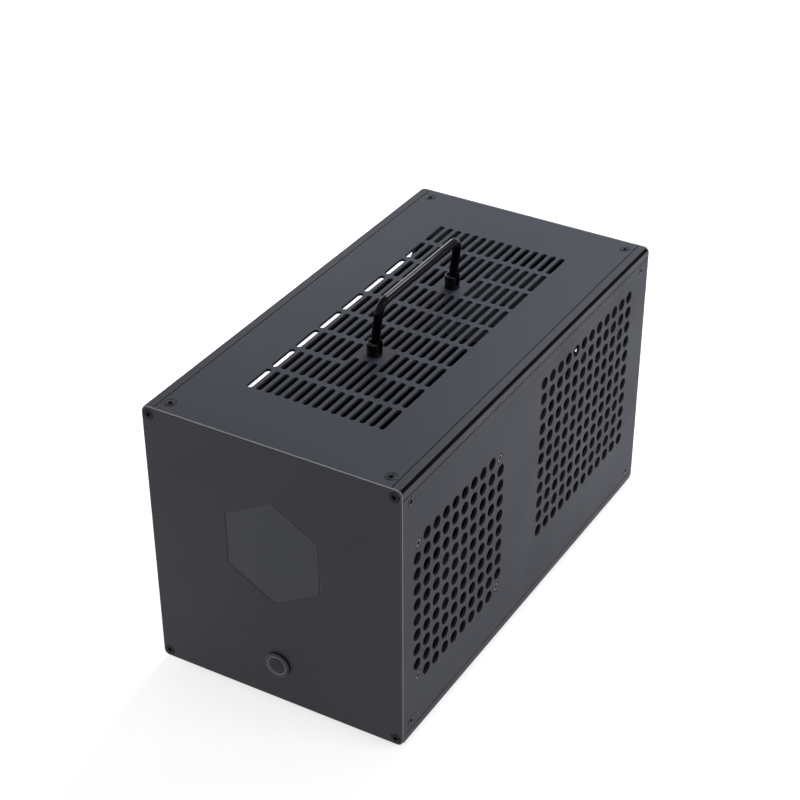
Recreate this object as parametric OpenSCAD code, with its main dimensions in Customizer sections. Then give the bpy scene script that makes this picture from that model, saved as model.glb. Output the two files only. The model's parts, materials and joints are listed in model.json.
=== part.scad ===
// External graphics card enclosure: four corner rails, two end plates and four side panels round a card
// bay, a power supply and a side fan. The front looks along -Y, and the origin is centred under the feet.

/* [Box] */
// Width over the side panels
box_w = 187; // [182:0.5:230]
// Height of the box without its feet
box_h = 200; // [198:0.5:240]
// Length over the end plates
box_d = 350; // [345:0.5:420]
// Thickness of the end plates
plate_t = 2; // [1.5:0.1:3]
// Thickness of the four side panels
panel_t = 2; // [1.6:0.1:2.6]
// Corner radius of the end plates
plate_r = 4; // [2:0.1:5]
// Width of the eased edge round the outside of an end plate
plate_ease = 0.6; // [0.2:0.1:1]
// Height of the rubber feet
foot_h = 4; // [2:0.1:8]
// Diameter of a rubber foot
foot_d = 14; // [12:0.1:20]
// Inset of a foot from the side and the end of the box
foot_inset = 30; // [26:0.5:45]

/* [Rails] */
// Width of a rail's strip on the top and bottom
rail_strip = 8; // [7:0.1:9]
// Width of a rail's strip on the sides
rail_side_strip = 7.6; // [7:0.1:9]
// Side of the small notch along the outer corner
rail_notch = 1.8; // [0.8:0.1:2.4]
// Side of the rail's core
rail_core = 9.5; // [9.2:0.1:11]
// Thickness of the ledges that carry the panels
ledge_t = 3; // [2:0.1:4]
// Reach of a ledge from the outer corner
ledge_reach = 21; // [19:0.1:24]

/* [Top vents] */
// Number of slot columns across the top
slot_cols = 15; // [9:2:17]
// Number of slot rows along the top
slot_rows = 9; // [9:2:11]
// Distance between slot columns
slot_pitch = 6.9; // [6:0.1:7.4]
// Distance between slot rows
slot_row_pitch = 28.3; // [27:0.1:29]
// Width of a slot
slot_w = 4.2; // [3:0.1:4.6]
// Length of a slot
slot_len = 24.6; // [20:0.1:25]
// Distance of the slot field's middle behind the middle of the box
slot_shift = 2.2; // [0:0.1:6]

/* [Side vents] */
// Diameter of a round vent hole
hole_d = 9; // [6:0.1:10]
// Distance between vent holes
hole_pitch = 12; // [11.6:0.1:12.2]
// Holes on a side of the front vent
front_holes = 10; // [8:2:10]
// Columns of the rear vent
rear_cols = 12; // [8:1:12]
// Rows of the rear vent
rear_rows = 11; // [7:1:11]
// Length of the window high in the left panel
window_len = 236; // [180:1:250]
// Height of the window high in the left panel
window_h = 30; // [20:0.5:32]
// Distance of the window's top from the top of the box
window_drop = 22; // [21.6:0.1:26]
// Distance of the window's end from the back of the box
window_end = 14; // [12:0.5:40]
// Corner radius of the window
window_r = 6; // [3:0.5:10]

/* [Handle] */
// Distance between the handle's posts
handle_span = 103; // [100:0.5:110]
// Height of the grip's middle line above the top
handle_h = 38; // [32:0.5:60]
// Diameter of the bar
bar_d = 6; // [5:0.1:6.4]
// Bend radius of the bar
bar_bend = 8; // [6:0.5:12]
// Diameter of a post
post_d = 10.4; // [10.2:0.1:12]
// Height of a post
post_h = 9.7; // [9.4:0.1:12]
// Height of the pivot above the top
pivot_h = 4.7; // [4.5:0.1:5]
// Lean of the bar towards the right, as it stands
handle_lean = 7; // [0:0.5:10]
// Diameter of a pivot pin
pin_d = 2.4; // [2:0.1:3]

/* [Front] */
// Distance across the flats of the hexagon field
hex_flats = 70; // [50:0.5:90]
// Depth of the hexagon field
hex_depth = 0.3; // [0.2:0.1:0.6]
// Height of the hexagon's middle above the bottom of the box
hex_z = 120; // [110:0.5:130]
// Height of the power button's middle above the bottom of the box
button_z = 30; // [28:0.5:40]
// Outer diameter of the button's bezel
bezel_d = 18.6; // [18:0.1:20]
// How far the bezel stands proud
bezel_proud = 2; // [1:0.1:3]
// Diameter of the button's body behind the plate
barrel_d = 16; // [15.6:0.1:16.4]
// Diameter of the moving cap
cap_d = 12.6; // [11.6:0.1:12.8]
// Travel of the moving cap
cap_travel = 1.5; // [0.8:0.1:2]

/* [Fan] */
// Side of the square fan frame
fan_side = 120; // [119:0.5:121]
// Depth of the fan frame
fan_depth = 25; // [23:0.5:27]
// Distance between the fan's screws
fan_screw_pitch = 105; // [104:0.5:106]
// Share of the free length between the front plate and the power supply that lies ahead of the fan
fan_ahead_share = 0.166667; // [0.1:0.01:0.6]
// Height of the fan's axis above the bottom of the box
fan_z = 98; // [96:0.5:104]
// Diameter of the air bore
fan_bore = 115; // [112:0.5:116]
// Diameter of the rotor over the blades
rotor_d = 112; // [108:0.5:112.5]
// Diameter of the hub
hub_d = 40; // [36:0.5:44]
// Number of blades
blades = 9; // [5:1:9]

/* [Power supply] */
// Room between the card frame and the power supply
bay_gap = 23.5; // [6:0.5:40]
// Height of the power supply as it stands
psu_h = 150; // [146:0.5:150]
// Depth of the power supply
psu_d = 160; // [158:0.5:170]
// Height of the power supply's middle above the bottom of the box
psu_z = 114; // [112.5:0.5:116]
// Sheet thickness of its case
psu_wall = 1.2; // [1:0.1:2]
// Distance of its fan's axis from its front
psu_fan_inset = 65; // [64:0.5:70]

/* [Card bay] */
// Number of card slots at the back
card_slots = 3; // [2:1:3]
// Distance between card slots
bracket_pitch = 20.32; // [20:0.02:20.6]
// Distance of the card's board plane from the left side
card_plane = 65; // [64.8:0.1:66]
// Distance of the brackets from the inside of the back plate
bracket_setback = 13; // [12.4:0.1:14]
// Height of the card opening above the board
bracket_h = 106; // [100:0.5:112]
// Thickness of the card frame's sheet
frame_t = 1.2; // [1:0.1:1.6]

/* [Dock board] */
// Length of the board
board_len = 192; // [190:0.5:200]
// Reach of the board past the card's plane, towards the left
board_behind = 24; // [20:0.5:26]
// Thickness of the board
board_t = 1.6; // [1.2:0.1:2]
// Height of the standoffs
standoff_h = 6; // [5:0.5:8]
// Length of the card slot's socket
socket_len = 89.6; // [80:0.1:92]
// Height of the card slot's socket
socket_h = 11.2; // [10.6:0.1:12]

/* [Hidden] */
$fn = 48;
// Overrun of every cut past the face that it goes through
cut = 1;
// Gap left at a seam between two panels
seam = 0.2;
// Radial play of a screw in its hole, and of the bar on its pins
play = 0.05;
// Gap between neighbours that only stand side by side
apart = 0.3;

// Places worked out from the box
half_w = box_w / 2;
half_d = box_d / 2;
base_z = foot_h;
top_z = foot_h + box_h;
floor_z = base_z + panel_t;
ceiling_z = top_z - panel_t;
inner_x = half_w - panel_t;
inner_y = half_d - plate_t;
run_len = box_d - 2 * plate_t;

// Screws: flat heads of the plates and panels, with a hexagon key
shank_d = 4;
panel_head_d = shank_d + 2 * panel_t;
plate_head_d = shank_d + 2 * plate_t;
key_d = 2.5;
key_deep = 1.2;
plate_screw_len = 12;
panel_screw_len = 5;
plate_screw_inset = 5;
panel_screw_inset = 14;
side_screw_inset = 13.5;
panel_screw_end = 11.8;
small_head_d = 5.6;
small_shank_d = 3;
small_screw_len = 6;

// Handle
handle_y = [slot_shift - handle_span / 2, slot_shift + handle_span / 2];
handle_gap = 0.3;
post_ease = 0.8;
pad_shares = [0.595, 0.943];
pivot_z = top_z + pivot_h;

// Button
bezel_lip = 1.9;
ring_in_d = cap_d + 2 * play;
ring_d = cap_d + 1.8;
ring_deep = 1.2;
cap_deep = 4;
barrel_len = 25;
nut_rim = 2;
nut_flats = barrel_d + 2 * nut_rim;
nut_t = 3;

// Card bay
card_x = -half_w + card_plane;
bracket_y = inner_y - bracket_setback;
bracket_w = 18.4;
bracket_hole_w = 14.6;
bracket_ahead = 7.2;
bracket_lip_short = 1.6;
bracket_lip = bracket_setback - bracket_lip_short;
bracket_foot = 4;
cover_t = 0.9;
board_z = floor_z + standoff_h;
board_top = board_z + board_t;
shelf_z = board_top + bracket_h;
frame_margin = 3.4;
frame_x1 = card_x + bracket_ahead;
frame_x0 = frame_x1 - bracket_w - (card_slots - 1) * bracket_pitch - 2 * frame_margin;
window_margin = 2;
frame_low = max(base_z + rail_core, board_top) + apart;
cover_screw_d = 3.5;
cover_head_d = 7;
cover_head_t = 2.2;
cover_screw_len = 6;

// Power supply
psu_x1 = inner_x - ledge_t - apart;
psu_x0 = frame_x1 + bay_gap;
psu_w = psu_x1 - psu_x0;
psu_y1 = inner_y;
psu_y0 = psu_y1 - psu_d;
psu_z0 = base_z + psu_z - psu_h / 2;
psu_fan_y = psu_y0 + psu_fan_inset;
psu_fan_z = base_z + psu_z;
psu_fan_bore = 112;
psu_rotor_d = 108;
psu_rotor_depth = 18;
guard_wire = 1.6;
guard_rings = 5;
inlet_w = 27;
inlet_h = 19.6;
inlet_z = psu_z0 + 24;
inlet_deep = 18;
inlet_rim = 2;
blade_sunk = 3.6;
switch_w = 13;
switch_h = 19;
switch_gap = 8;
switch_deep = 14;
rocker_tilt = 9;
psu_screw_edge = 6;
psu_vent_d = 5.2;
psu_vent_pitch = 6.6;
psu_vent_rows = 12;
psu_vent_edge = 9;
psu_vent_cols = floor((psu_w - 2 * psu_vent_edge) / psu_vent_pitch);
psu_out_z = 28;
psu_out_share = 0.23;

// Fans
fan_corner_r = 7;
fan_y = psu_y0 - fan_side / 2 - (1 - fan_ahead_share) * (psu_y0 + inner_y - fan_side);
fan_axis_z = base_z + fan_z;
fan_lip = 4;
fan_hole_d = 4.3;
fan_screw_len = 11;
fan_head_d = 7.4;
blade_t = 1.5;
shaft_d = 3;
strut_w = 5;
strut_t = 3;
rotor_rise = 4;

// Dock board
board_step = 34;
board_notch = 6;
standoff_d = 6;
board_hole_inset = 5;
board_x0 = card_x - board_behind;
board_x1 = half_w - rail_core - apart;
board_w = board_x1 - board_x0;
stand_x1 = half_w - ledge_reach - standoff_d;
board_y1 = inner_y - apart;
board_y0 = board_y1 - board_len;
socket_w = 7.6;
socket_ahead = 47;
socket_y1 = bracket_y - socket_ahead;
socket_y0 = socket_y1 - socket_len;
socket_slit = 1.8;
socket_slit_deep = 8;
latch_w = 6;
latch_len = 9;
latch_h = 17;
latch_pin_d = 2;
port_w = 9;
port_h = 3.3;
port_len = 9;
port_wall = 0.4;
port_inset = 21.8;
port_pitch = 20;
port_x = [psu_x0 + port_inset, psu_x0 + port_inset + port_pitch];
port_z = board_top + port_h / 2;
port_play = 0.4;

// Leads
power_lead_d = 9;
power_bend = 12;
thin_lead_d = 3.6;
thin_bend = 9;
header_h = 6;
header_w = 8;
lead_x = psu_x0 + psu_w * psu_out_share;
lead_out_z = psu_z0 + psu_out_z;
lead_down_y = psu_y0 - power_bend - header_w;
button_axis_z = base_z + button_z;
field_edge = 6;

// Columns or rows set evenly about zero
function spread(count, pitch) = [for (i = [0 : count - 1]) (i - (count - 1) / 2) * pitch];

// Both signs of a distance
function both(v) = [-v, v];

// A flat shape with rounded corners, centred
module rounded(w, h, r) {
    square([w - 2 * r, h], center = true);
    square([w, h - 2 * r], center = true);
    for (x = both(w / 2 - r), y = both(h / 2 - r))
        translate([x, y])
            circle(r);
}

// A slot with round ends along Y, centred
module slot(len, w) {
    square([w, len - w], center = true);
    for (y = both((len - w) / 2))
        translate([0, y])
            circle(d = w);
}

// A flat head screw whose head is level with z = 0 and whose shank points down
module flat_screw(head, shank, len, key) {
    cone = (head - shank) / 2;
    difference() {
        union() {
            translate([0, 0, -cone])
                cylinder(h = cone, d1 = shank, d2 = head);
            translate([0, 0, -len])
                cylinder(h = len - cone, d = shank);
        }
        translate([0, 0, -key_deep])
            cylinder(h = key_deep + cut, d = key / cos(30), $fn = 6);
    }
}

// The hole that takes such a screw, from z = 0 down
module sink(head, shank, deep) {
    cone = (head - shank) / 2;
    translate([0, 0, -deep - cut])
        cylinder(h = deep + cut, d = shank + 2 * play);
    translate([0, 0, -cone - 2 * play])
        cylinder(h = cone + 2 * play, d1 = shank + 2 * play, d2 = head + 4 * play);
    translate([0, 0, -play])
        cylinder(h = cut, d = head + 4 * play);
}

// The same screw with a round head that stands proud of z = 0
module pan_screw(head, head_t, shank, len, key) {
    difference() {
        union() {
            cylinder(h = head_t, d1 = head, d2 = head * pan_taper_share);
            translate([0, 0, -len])
                cylinder(h = len, d = shank);
        }
        translate([0, 0, head_t - key_deep])
            cylinder(h = key_deep + cut, d = key / cos(30), $fn = 6);
    }
}
pan_taper_share = 0.8;

// Corner places, shared by the holes and the screws that fill them
module at_plate_corners() {
    for (x = both(half_w - plate_screw_inset), z = [base_z + plate_screw_inset, top_z - plate_screw_inset])
        translate([x, 0, z])
            children();
}

module at_flat_corners() {
    for (x = both(half_w - panel_screw_inset), y = both(half_d - panel_screw_end))
        translate([x, y, 0])
            children();
}

module at_side_corners() {
    for (y = both(half_d - panel_screw_end), z = [base_z + side_screw_inset, top_z - side_screw_inset])
        translate([0, y, z])
            children();
}

// Turns that point a screw's axis out of a face
module facing_front() {
    rotate([90, 0, 0])
        children();
}

module facing_back() {
    rotate([-90, 0, 0])
        children();
}

module facing_right() {
    rotate([0, 90, 0])
        children();
}

module facing_left() {
    rotate([0, -90, 0])
        children();
}

// Section of a rail with its outer corner at the origin
module rail_section() {
    inner = panel_t + ledge_t;
    polygon([
        [rail_notch, 0], [rail_strip, 0], [rail_strip, panel_t], [ledge_reach, panel_t],
        [ledge_reach, inner], [rail_core, inner], [rail_core, rail_core], [inner, rail_core],
        [inner, ledge_reach], [panel_t, ledge_reach], [panel_t, rail_side_strip],
        [0, rail_side_strip], [0, rail_notch], [rail_notch, rail_notch]
    ]);
}

// One rail, for the side (-1 left, 1 right) and level (-1 bottom, 1 top) given
module rail(side, level) {
    corner_z = level < 0 ? base_z : top_z;
    color([0.2, 0.2, 0.21])
        difference() {
            translate([side * half_w, inner_y, corner_z])
                mirror([side > 0 ? 1 : 0, 0, 0])
                    mirror([0, 0, level > 0 ? 1 : 0])
                        rotate([90, 0, 0])
                            linear_extrude(run_len)
                                rail_section();
            for (end = [-1, 1])
                translate([side * (half_w - plate_screw_inset), end * (inner_y + cut),
                    corner_z - level * plate_screw_inset])
                    rotate([end * 90, 0, 0])
                        cylinder(h = plate_screw_len + cut, d = shank_d + 2 * play);
            for (y = both(half_d - panel_screw_end)) {
                translate([side * (half_w - panel_screw_inset), y, corner_z - level * (panel_t + ledge_t / 2)])
                    cylinder(h = ledge_t + 2 * cut, d = shank_d + 2 * play, center = true);
                translate([side * (inner_x - ledge_t / 2), y, corner_z - level * side_screw_inset])
                    rotate([0, 90, 0])
                        cylinder(h = ledge_t + 2 * cut, d = shank_d + 2 * play, center = true);
            }
        }
}

// An end plate's body between two depths along Y, with an eased outer edge on the side of the sign given
module plate_body(y_outer, sign) {
    rise = box_h / 2 + base_z;
    translate([0, y_outer, rise])
        rotate([sign < 0 ? -90 : 90, 0, 0]) {
            linear_extrude(plate_t)
                rounded(box_w - 2 * plate_ease, box_h - 2 * plate_ease, plate_r - plate_ease);
            translate([0, 0, plate_ease])
                linear_extrude(plate_t - plate_ease)
                    rounded(box_w, box_h, plate_r);
        }
}

module front_plate() {
    color([0.16, 0.165, 0.175])
        difference() {
            plate_body(-half_d, -1);
            translate([0, -half_d, 0])
                at_plate_corners()
                    facing_front()
                        sink(plate_head_d, shank_d, plate_t);
            translate([0, -half_d + hex_depth, base_z + hex_z])
                rotate([90, 30, 0])
                    cylinder(h = hex_depth + cut, d = hex_flats / cos(30), $fn = 6);
            translate([0, -half_d + plate_t + cut, base_z + button_z])
                rotate([90, 0, 0])
                    cylinder(h = plate_t + 2 * cut, d = barrel_d + 2 * play);
        }
}

// The windows in the back plate: card slots, power supply and host sockets
module back_windows() {
    card_w = frame_x1 - frame_x0 - 2 * window_margin;
    card_h = shelf_z - frame_low - 2 * frame_t - window_margin;
    translate([(frame_x0 + frame_x1) / 2, (shelf_z + frame_low) / 2])
        rounded(card_w, card_h, window_margin);
    translate([(psu_x0 + psu_x1) / 2, psu_z0 + psu_h / 2])
        difference() {
            rounded(psu_w - 2 * window_margin, psu_h - 2 * window_margin, window_margin);
            for (x = both(psu_w / 2 - psu_screw_edge), z = both(psu_h / 2 - psu_screw_edge))
                translate([x, z])
                    square(2 * psu_screw_edge, center = true);
        }
    for (x = port_x)
        translate([x, port_z])
            rotate(90)
                slot(port_w + 2 * port_play, port_h + 2 * port_play);
}

module back_plate() {
    color([0.16, 0.165, 0.175])
        difference() {
            plate_body(half_d, 1);
            translate([0, half_d, 0])
                at_plate_corners()
                    facing_back()
                        sink(plate_head_d, shank_d, plate_t);
            translate([0, half_d + cut, 0])
                rotate([90, 0, 0])
                    linear_extrude(plate_t + 2 * cut)
                        back_windows();
            translate([0, half_d, 0])
                at_psu_screws()
                    facing_back()
                        sink(small_head_d, small_shank_d, plate_t);
        }
}

module at_psu_screws() {
    for (x = [psu_x0 + psu_screw_edge, psu_x1 - psu_screw_edge],
        z = [psu_z0 + psu_screw_edge, psu_z0 + psu_h - psu_screw_edge])
        translate([x, 0, z])
            children();
}

// Long slots of the middle three columns, cut short by the pad under a handle post
module post_slots() {
    outer = slot_row_pitch * 3 + slot_len / 2;
    inner = handle_span * pad_shares[0];
    for (side = [-1, 1], x = spread(3, slot_pitch))
        translate([x, side * (inner + outer) / 2])
            slot(outer - inner, slot_w);
}

// All slots of the top, about the middle of their field
module top_slots() {
    for (i = [0 : slot_cols - 1], j = [0 : slot_rows - 1]) {
        x = spread(slot_cols, slot_pitch)[i];
        y = spread(slot_rows, slot_row_pitch)[j];
        row = round(abs(y) / slot_row_pitch);
        near_post = abs(x) < slot_pitch * 1.5 && (row == 2 || row == 3);
        if (!near_post)
            translate([x, y])
                slot(slot_len, slot_w);
    }
    post_slots();
}

module top_panel() {
    color([0.27, 0.27, 0.29])
        difference() {
            translate([0, 0, ceiling_z])
                linear_extrude(panel_t)
                    difference() {
                        square([box_w - 2 * rail_strip - 2 * seam, run_len - 2 * seam], center = true);
                        translate([0, slot_shift])
                            top_slots();
                        for (y = handle_y)
                            translate([0, y])
                                circle(d = shank_d + 2 * play);
                    }
            translate([0, 0, top_z])
                at_flat_corners()
                    sink(panel_head_d, shank_d, panel_t);
        }
}

module bottom_panel() {
    color([0.2, 0.2, 0.21])
        difference() {
            translate([0, 0, base_z])
                linear_extrude(panel_t)
                    square([box_w - 2 * rail_strip - 2 * seam, run_len - 2 * seam], center = true);
            translate([0, 0, base_z])
                mirror([0, 0, 1]) {
                    at_flat_corners()
                        sink(panel_head_d, shank_d, panel_t);
                    at_standoffs()
                        sink(small_head_d, small_shank_d, panel_t);
                }
            translate([0, 0, base_z - cut])
                at_feet()
                    cylinder(h = panel_t + 2 * cut, d = small_shank_d + 2 * play);
        }
}

// A plain side panel lying in the Y-Z plane, as a flat shape in X-Y
module side_sheet() {
    square([run_len - 2 * seam, box_h - 2 * rail_side_strip - 2 * seam], center = true);
}

module stand_right(x) {
    translate([x, 0, base_z + box_h / 2])
        rotate([90, 0, 90])
            children();
}

module left_panel() {
    window_y = half_d - window_end - window_len / 2;
    window_z = box_h / 2 - window_drop - window_h / 2;
    color([0.3, 0.3, 0.32])
        difference() {
            stand_right(-half_w)
                linear_extrude(panel_t)
                    difference() {
                        side_sheet();
                        translate([window_y, window_z])
                            rounded(window_len, window_h, window_r);
                    }
            translate([-half_w, 0, 0])
                at_side_corners()
                    facing_left()
                        sink(panel_head_d, shank_d, panel_t);
        }
}

// Front vent: a square of holes whose corners are the fan's screws
module front_vent() {
    last = front_holes - 1;
    for (i = [0 : last], j = [0 : last]) {
        corner = (i == 0 || i == last) && (j == 0 || j == last);
        if (!corner)
            translate([spread(front_holes, hole_pitch)[i], spread(front_holes, hole_pitch)[j]])
                circle(d = hole_d);
    }
}

module rear_vent() {
    for (x = spread(rear_cols, hole_pitch), y = spread(rear_rows, hole_pitch))
        translate([x, y])
            circle(d = hole_d);
}

module at_fan_screws() {
    for (y = both(fan_screw_pitch / 2), z = both(fan_screw_pitch / 2))
        translate([0, fan_y + y, fan_axis_z + z])
            children();
}

module right_panel() {
    middle = base_z + box_h / 2;
    color([0.32, 0.32, 0.35])
        difference() {
            stand_right(inner_x)
                linear_extrude(panel_t)
                    difference() {
                        side_sheet();
                        translate([fan_y, fan_axis_z - middle])
                            front_vent();
                        translate([psu_fan_y, psu_fan_z - middle])
                            rear_vent();
                    }
            translate([half_w, 0, 0]) {
                at_side_corners()
                    facing_right()
                        sink(panel_head_d, shank_d, panel_t);
                at_fan_screws()
                    facing_right()
                        sink(fan_head_d, shank_d, panel_t);
            }
        }
}

module front_plate_screws() {
    color([0.1, 0.1, 0.1])
        translate([0, -half_d, 0])
            at_plate_corners()
                facing_front()
                    flat_screw(plate_head_d, shank_d, plate_screw_len, key_d);
}

module back_plate_screws() {
    color([0.1, 0.1, 0.1])
        translate([0, half_d, 0])
            at_plate_corners()
                facing_back()
                    flat_screw(plate_head_d, shank_d, plate_screw_len, key_d);
}

module top_panel_screws() {
    color([0.1, 0.1, 0.1])
        translate([0, 0, top_z])
            at_flat_corners()
                flat_screw(panel_head_d, shank_d, panel_screw_len, key_d);
}

module bottom_panel_screws() {
    color([0.1, 0.1, 0.1])
        translate([0, 0, base_z])
            mirror([0, 0, 1])
                at_flat_corners()
                    flat_screw(panel_head_d, shank_d, panel_screw_len, key_d);
}

module left_panel_screws() {
    color([0.1, 0.1, 0.1])
        translate([-half_w, 0, 0])
            at_side_corners()
                facing_left()
                    flat_screw(panel_head_d, shank_d, panel_screw_len, key_d);
}

module right_panel_screws() {
    color([0.1, 0.1, 0.1])
        translate([half_w, 0, 0])
            at_side_corners()
                facing_right()
                    flat_screw(panel_head_d, shank_d, panel_screw_len, key_d);
}

module at_feet() {
    for (x = both(half_w - foot_inset), y = both(half_d - foot_inset))
        translate([x, y, 0])
            children();
}

// A foot is a short cone with a pocket for its screw's head
module rubber_feet() {
    color([0.06, 0.06, 0.06])
        at_feet()
            difference() {
                cylinder(h = foot_h, d1 = foot_d * foot_taper_share, d2 = foot_d);
                translate([0, 0, -cut])
                    cylinder(h = foot_h * foot_pocket_share + cut, d = foot_pocket_d);
                translate([0, 0, -cut])
                    cylinder(h = foot_h + 2 * cut, d = small_shank_d + 2 * play);
            }
}
foot_taper_share = 0.9;
foot_pocket_share = 0.55;
foot_pocket_d = 7;

module foot_screws() {
    seat = foot_h * foot_pocket_share;
    head_t = seat * pan_taper_share;
    color([0.5, 0.5, 0.5])
        at_feet()
            translate([0, 0, seat])
                mirror([0, 0, 1])
                    pan_screw(foot_pocket_d - 1.4, head_t, small_shank_d, foot_h - seat + panel_t, key_d);
}

// A post with a slot that is open at its top and towards the right, where the bar folds
module handle_post(y) {
    slot_half = bar_d / 2 + handle_gap / 2;
    reach = bar_d / 2 + handle_gap;
    color([0.05, 0.05, 0.05])
        translate([0, y, top_z])
            difference() {
                union() {
                    cylinder(h = post_h - post_ease, d = post_d);
                    translate([0, 0, post_h - post_ease])
                        cylinder(h = post_ease, d1 = post_d, d2 = post_d - 2 * post_ease);
                }
                translate([-reach, -slot_half, pivot_h])
                    cube([post_d + reach, 2 * slot_half, post_h]);
                translate([0, -slot_half, pivot_h])
                    rotate([-90, 0, 0])
                        cylinder(h = 2 * slot_half, r = reach);
                translate([0, -slot_half, pivot_h - reach])
                    cube([post_d, 2 * slot_half, 2 * reach]);
                translate([0, -post_d, pivot_h])
                    rotate([-90, 0, 0])
                        cylinder(h = 2 * post_d, d = pin_d);
                translate([0, 0, -cut])
                    cylinder(h = (pivot_h - reach) * post_bore_share + cut, d = small_shank_d + 2 * play);
            }
}
post_bore_share = 0.9;

module handle_post_front() {
    handle_post(handle_y[0]);
}

module handle_post_rear() {
    handle_post(handle_y[1]);
}

// The bar stands on its pivots and leans a little towards the side that it folds to
module handle_bar() {
    rise = handle_h - pivot_h;
    color([0.04, 0.04, 0.04])
        translate([0, 0, pivot_z])
            rotate([0, handle_lean, 0])
                difference() {
                    union() {
                        for (y = handle_y) {
                            translate([0, y, 0])
                                sphere(d = bar_d);
                            translate([0, y, 0])
                                cylinder(h = rise - bar_bend, d = bar_d);
                        }
                        translate([0, handle_y[0] + bar_bend, rise])
                            rotate([-90, 0, 0])
                                cylinder(h = handle_span - 2 * bar_bend, d = bar_d);
                        translate([0, handle_y[0] + bar_bend, rise - bar_bend])
                            rotate([0, -90, 0])
                                rotate([0, 0, 180])
                                    mirror([1, 0, 0])
                                        elbow(bar_bend, bar_d);
                        translate([0, handle_y[1] - bar_bend, rise - bar_bend])
                            rotate([0, -90, 0])
                                elbow(bar_bend, bar_d);
                    }
                    for (y = handle_y)
                        translate([0, y - bar_d, 0])
                            rotate([-90, 0, 0])
                                cylinder(h = 2 * bar_d, d = pin_d + 2 * play);
                }
}

// A quarter bend in the X-Y plane about the origin, from +X to +Y
module elbow(bend, d) {
    rotate_extrude(angle = 90)
        translate([bend, 0])
            circle(d = d);
}

module handle_pins() {
    len = post_d * pin_len_share;
    color([0.3, 0.3, 0.3])
        for (y = handle_y)
            translate([0, y - len / 2, pivot_z])
                rotate([-90, 0, 0])
                    cylinder(h = len, d = pin_d);
}
pin_len_share = 0.96;

// Screws from below, through the top panel into the posts
module handle_screws() {
    color([0.5, 0.5, 0.5])
        for (y = handle_y)
            translate([0, y, ceiling_z])
                mirror([0, 0, 1])
                    difference() {
                        union() {
                            cylinder(h = cover_head_t, d1 = cover_head_d, d2 = cover_head_d * pan_taper_share);
                            translate([0, 0, -panel_t - play])
                                cylinder(h = panel_t + play, d = small_shank_d);
                        }
                        translate([0, 0, cover_head_t - key_deep])
                            cylinder(h = key_deep + cut, d = key_d / cos(30), $fn = 6);
                    }
}

// Bezel and threaded barrel of the button, hollow for the cap, with its contacts' base at the back
module button_body() {
    cap_room = cap_deep + cap_travel + apart;
    color([0.12, 0.12, 0.14])
        translate([0, -half_d, base_z + button_z])
            rotate([-90, 0, 0])
                difference() {
                    union() {
                        translate([0, 0, -bezel_proud])
                            cylinder(h = bezel_proud * bezel_rim_share, d1 = bezel_d - bezel_lip, d2 = bezel_d);
                        translate([0, 0, -bezel_proud * (1 - bezel_rim_share)])
                            cylinder(h = bezel_proud * (1 - bezel_rim_share), d = bezel_d);
                        cylinder(h = barrel_len, d = barrel_d);
                    }
                    translate([0, 0, -bezel_proud - cut])
                        cylinder(h = cap_room + cut, d = ring_in_d);
                    translate([0, 0, -bezel_proud - cut])
                        cylinder(h = ring_deep + cut, d = ring_d);
                }
}
bezel_rim_share = 0.45;

// The light ring lies in the bezel round the cap
module button_light_ring() {
    color([0.75, 0.8, 0.9])
        translate([0, -half_d - bezel_proud, base_z + button_z])
            rotate([-90, 0, 0])
                difference() {
                    cylinder(h = ring_deep, d = ring_d);
                    translate([0, 0, -cut])
                        cylinder(h = ring_deep + 2 * cut, d = ring_in_d);
                }
}

module button_cap() {
    color([0.1, 0.11, 0.15])
        translate([0, -half_d - bezel_proud, base_z + button_z])
            rotate([-90, 0, 0])
                cylinder(h = cap_deep, d = cap_d);
}

module button_nut() {
    color([0.5, 0.5, 0.52])
        translate([0, -inner_y, base_z + button_z])
            rotate([-90, 0, 0])
                difference() {
                    cylinder(h = nut_t, d = nut_flats / cos(30), $fn = 6);
                    translate([0, 0, -cut])
                        cylinder(h = nut_t + 2 * cut, d = barrel_d + 2 * play);
                }
}

// A fan frame about the origin, its air side on z = 0 and its struts at the far side
module square_fan_frame(side, depth, bore, pitch) {
    cup = hub_d + 2 * apart;
    difference() {
        linear_extrude(depth)
            difference() {
                rounded(side, side, fan_corner_r);
                circle(d = bore);
                for (x = both(pitch / 2), y = both(pitch / 2))
                    translate([x, y])
                        circle(d = fan_hole_d);
            }
        translate([0, 0, fan_lip])
            linear_extrude(depth - 2 * fan_lip)
                difference() {
                    square(side + 2 * cut, center = true);
                    circle(d = side);
                }
    }
    fan_struts(depth, bore, cup);
}

// Four struts and a motor base with a bearing bore
module fan_struts(depth, bore, cup) {
    difference() {
        translate([0, 0, depth - strut_t])
            linear_extrude(strut_t) {
                circle(d = cup);
                for (a = [45 : 90 : 315])
                    rotate(a)
                        translate([bore / 4, 0])
                            square([bore / 2 + strut_w, strut_w], center = true);
            }
        translate([0, 0, depth - strut_t - cut])
            cylinder(h = strut_t + 2 * cut, d = shaft_d + 2 * play);
    }
}

// Section of a blade: a thin arc whose chord climbs from one end of the hub to the other
module blade_section(tall) {
    sweep = tall * blade_sweep_share;
    bulge = tall * blade_bulge_share;
    turns = [for (k = [0 : blade_steps]) 2 * k / blade_steps - 1];
    inside = [for (t = turns) [t * sweep / 2 - bulge * (1 - t * t), (t + 1) * tall / 2]];
    outside = [for (t = turns) [-t * sweep / 2 - bulge * (1 - t * t) + blade_t, (1 - t) * tall / 2]];
    polygon(concat(inside, outside));
}
blade_sweep_share = 1.4;
blade_bulge_share = 0.16;
blade_steps = 6;

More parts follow.
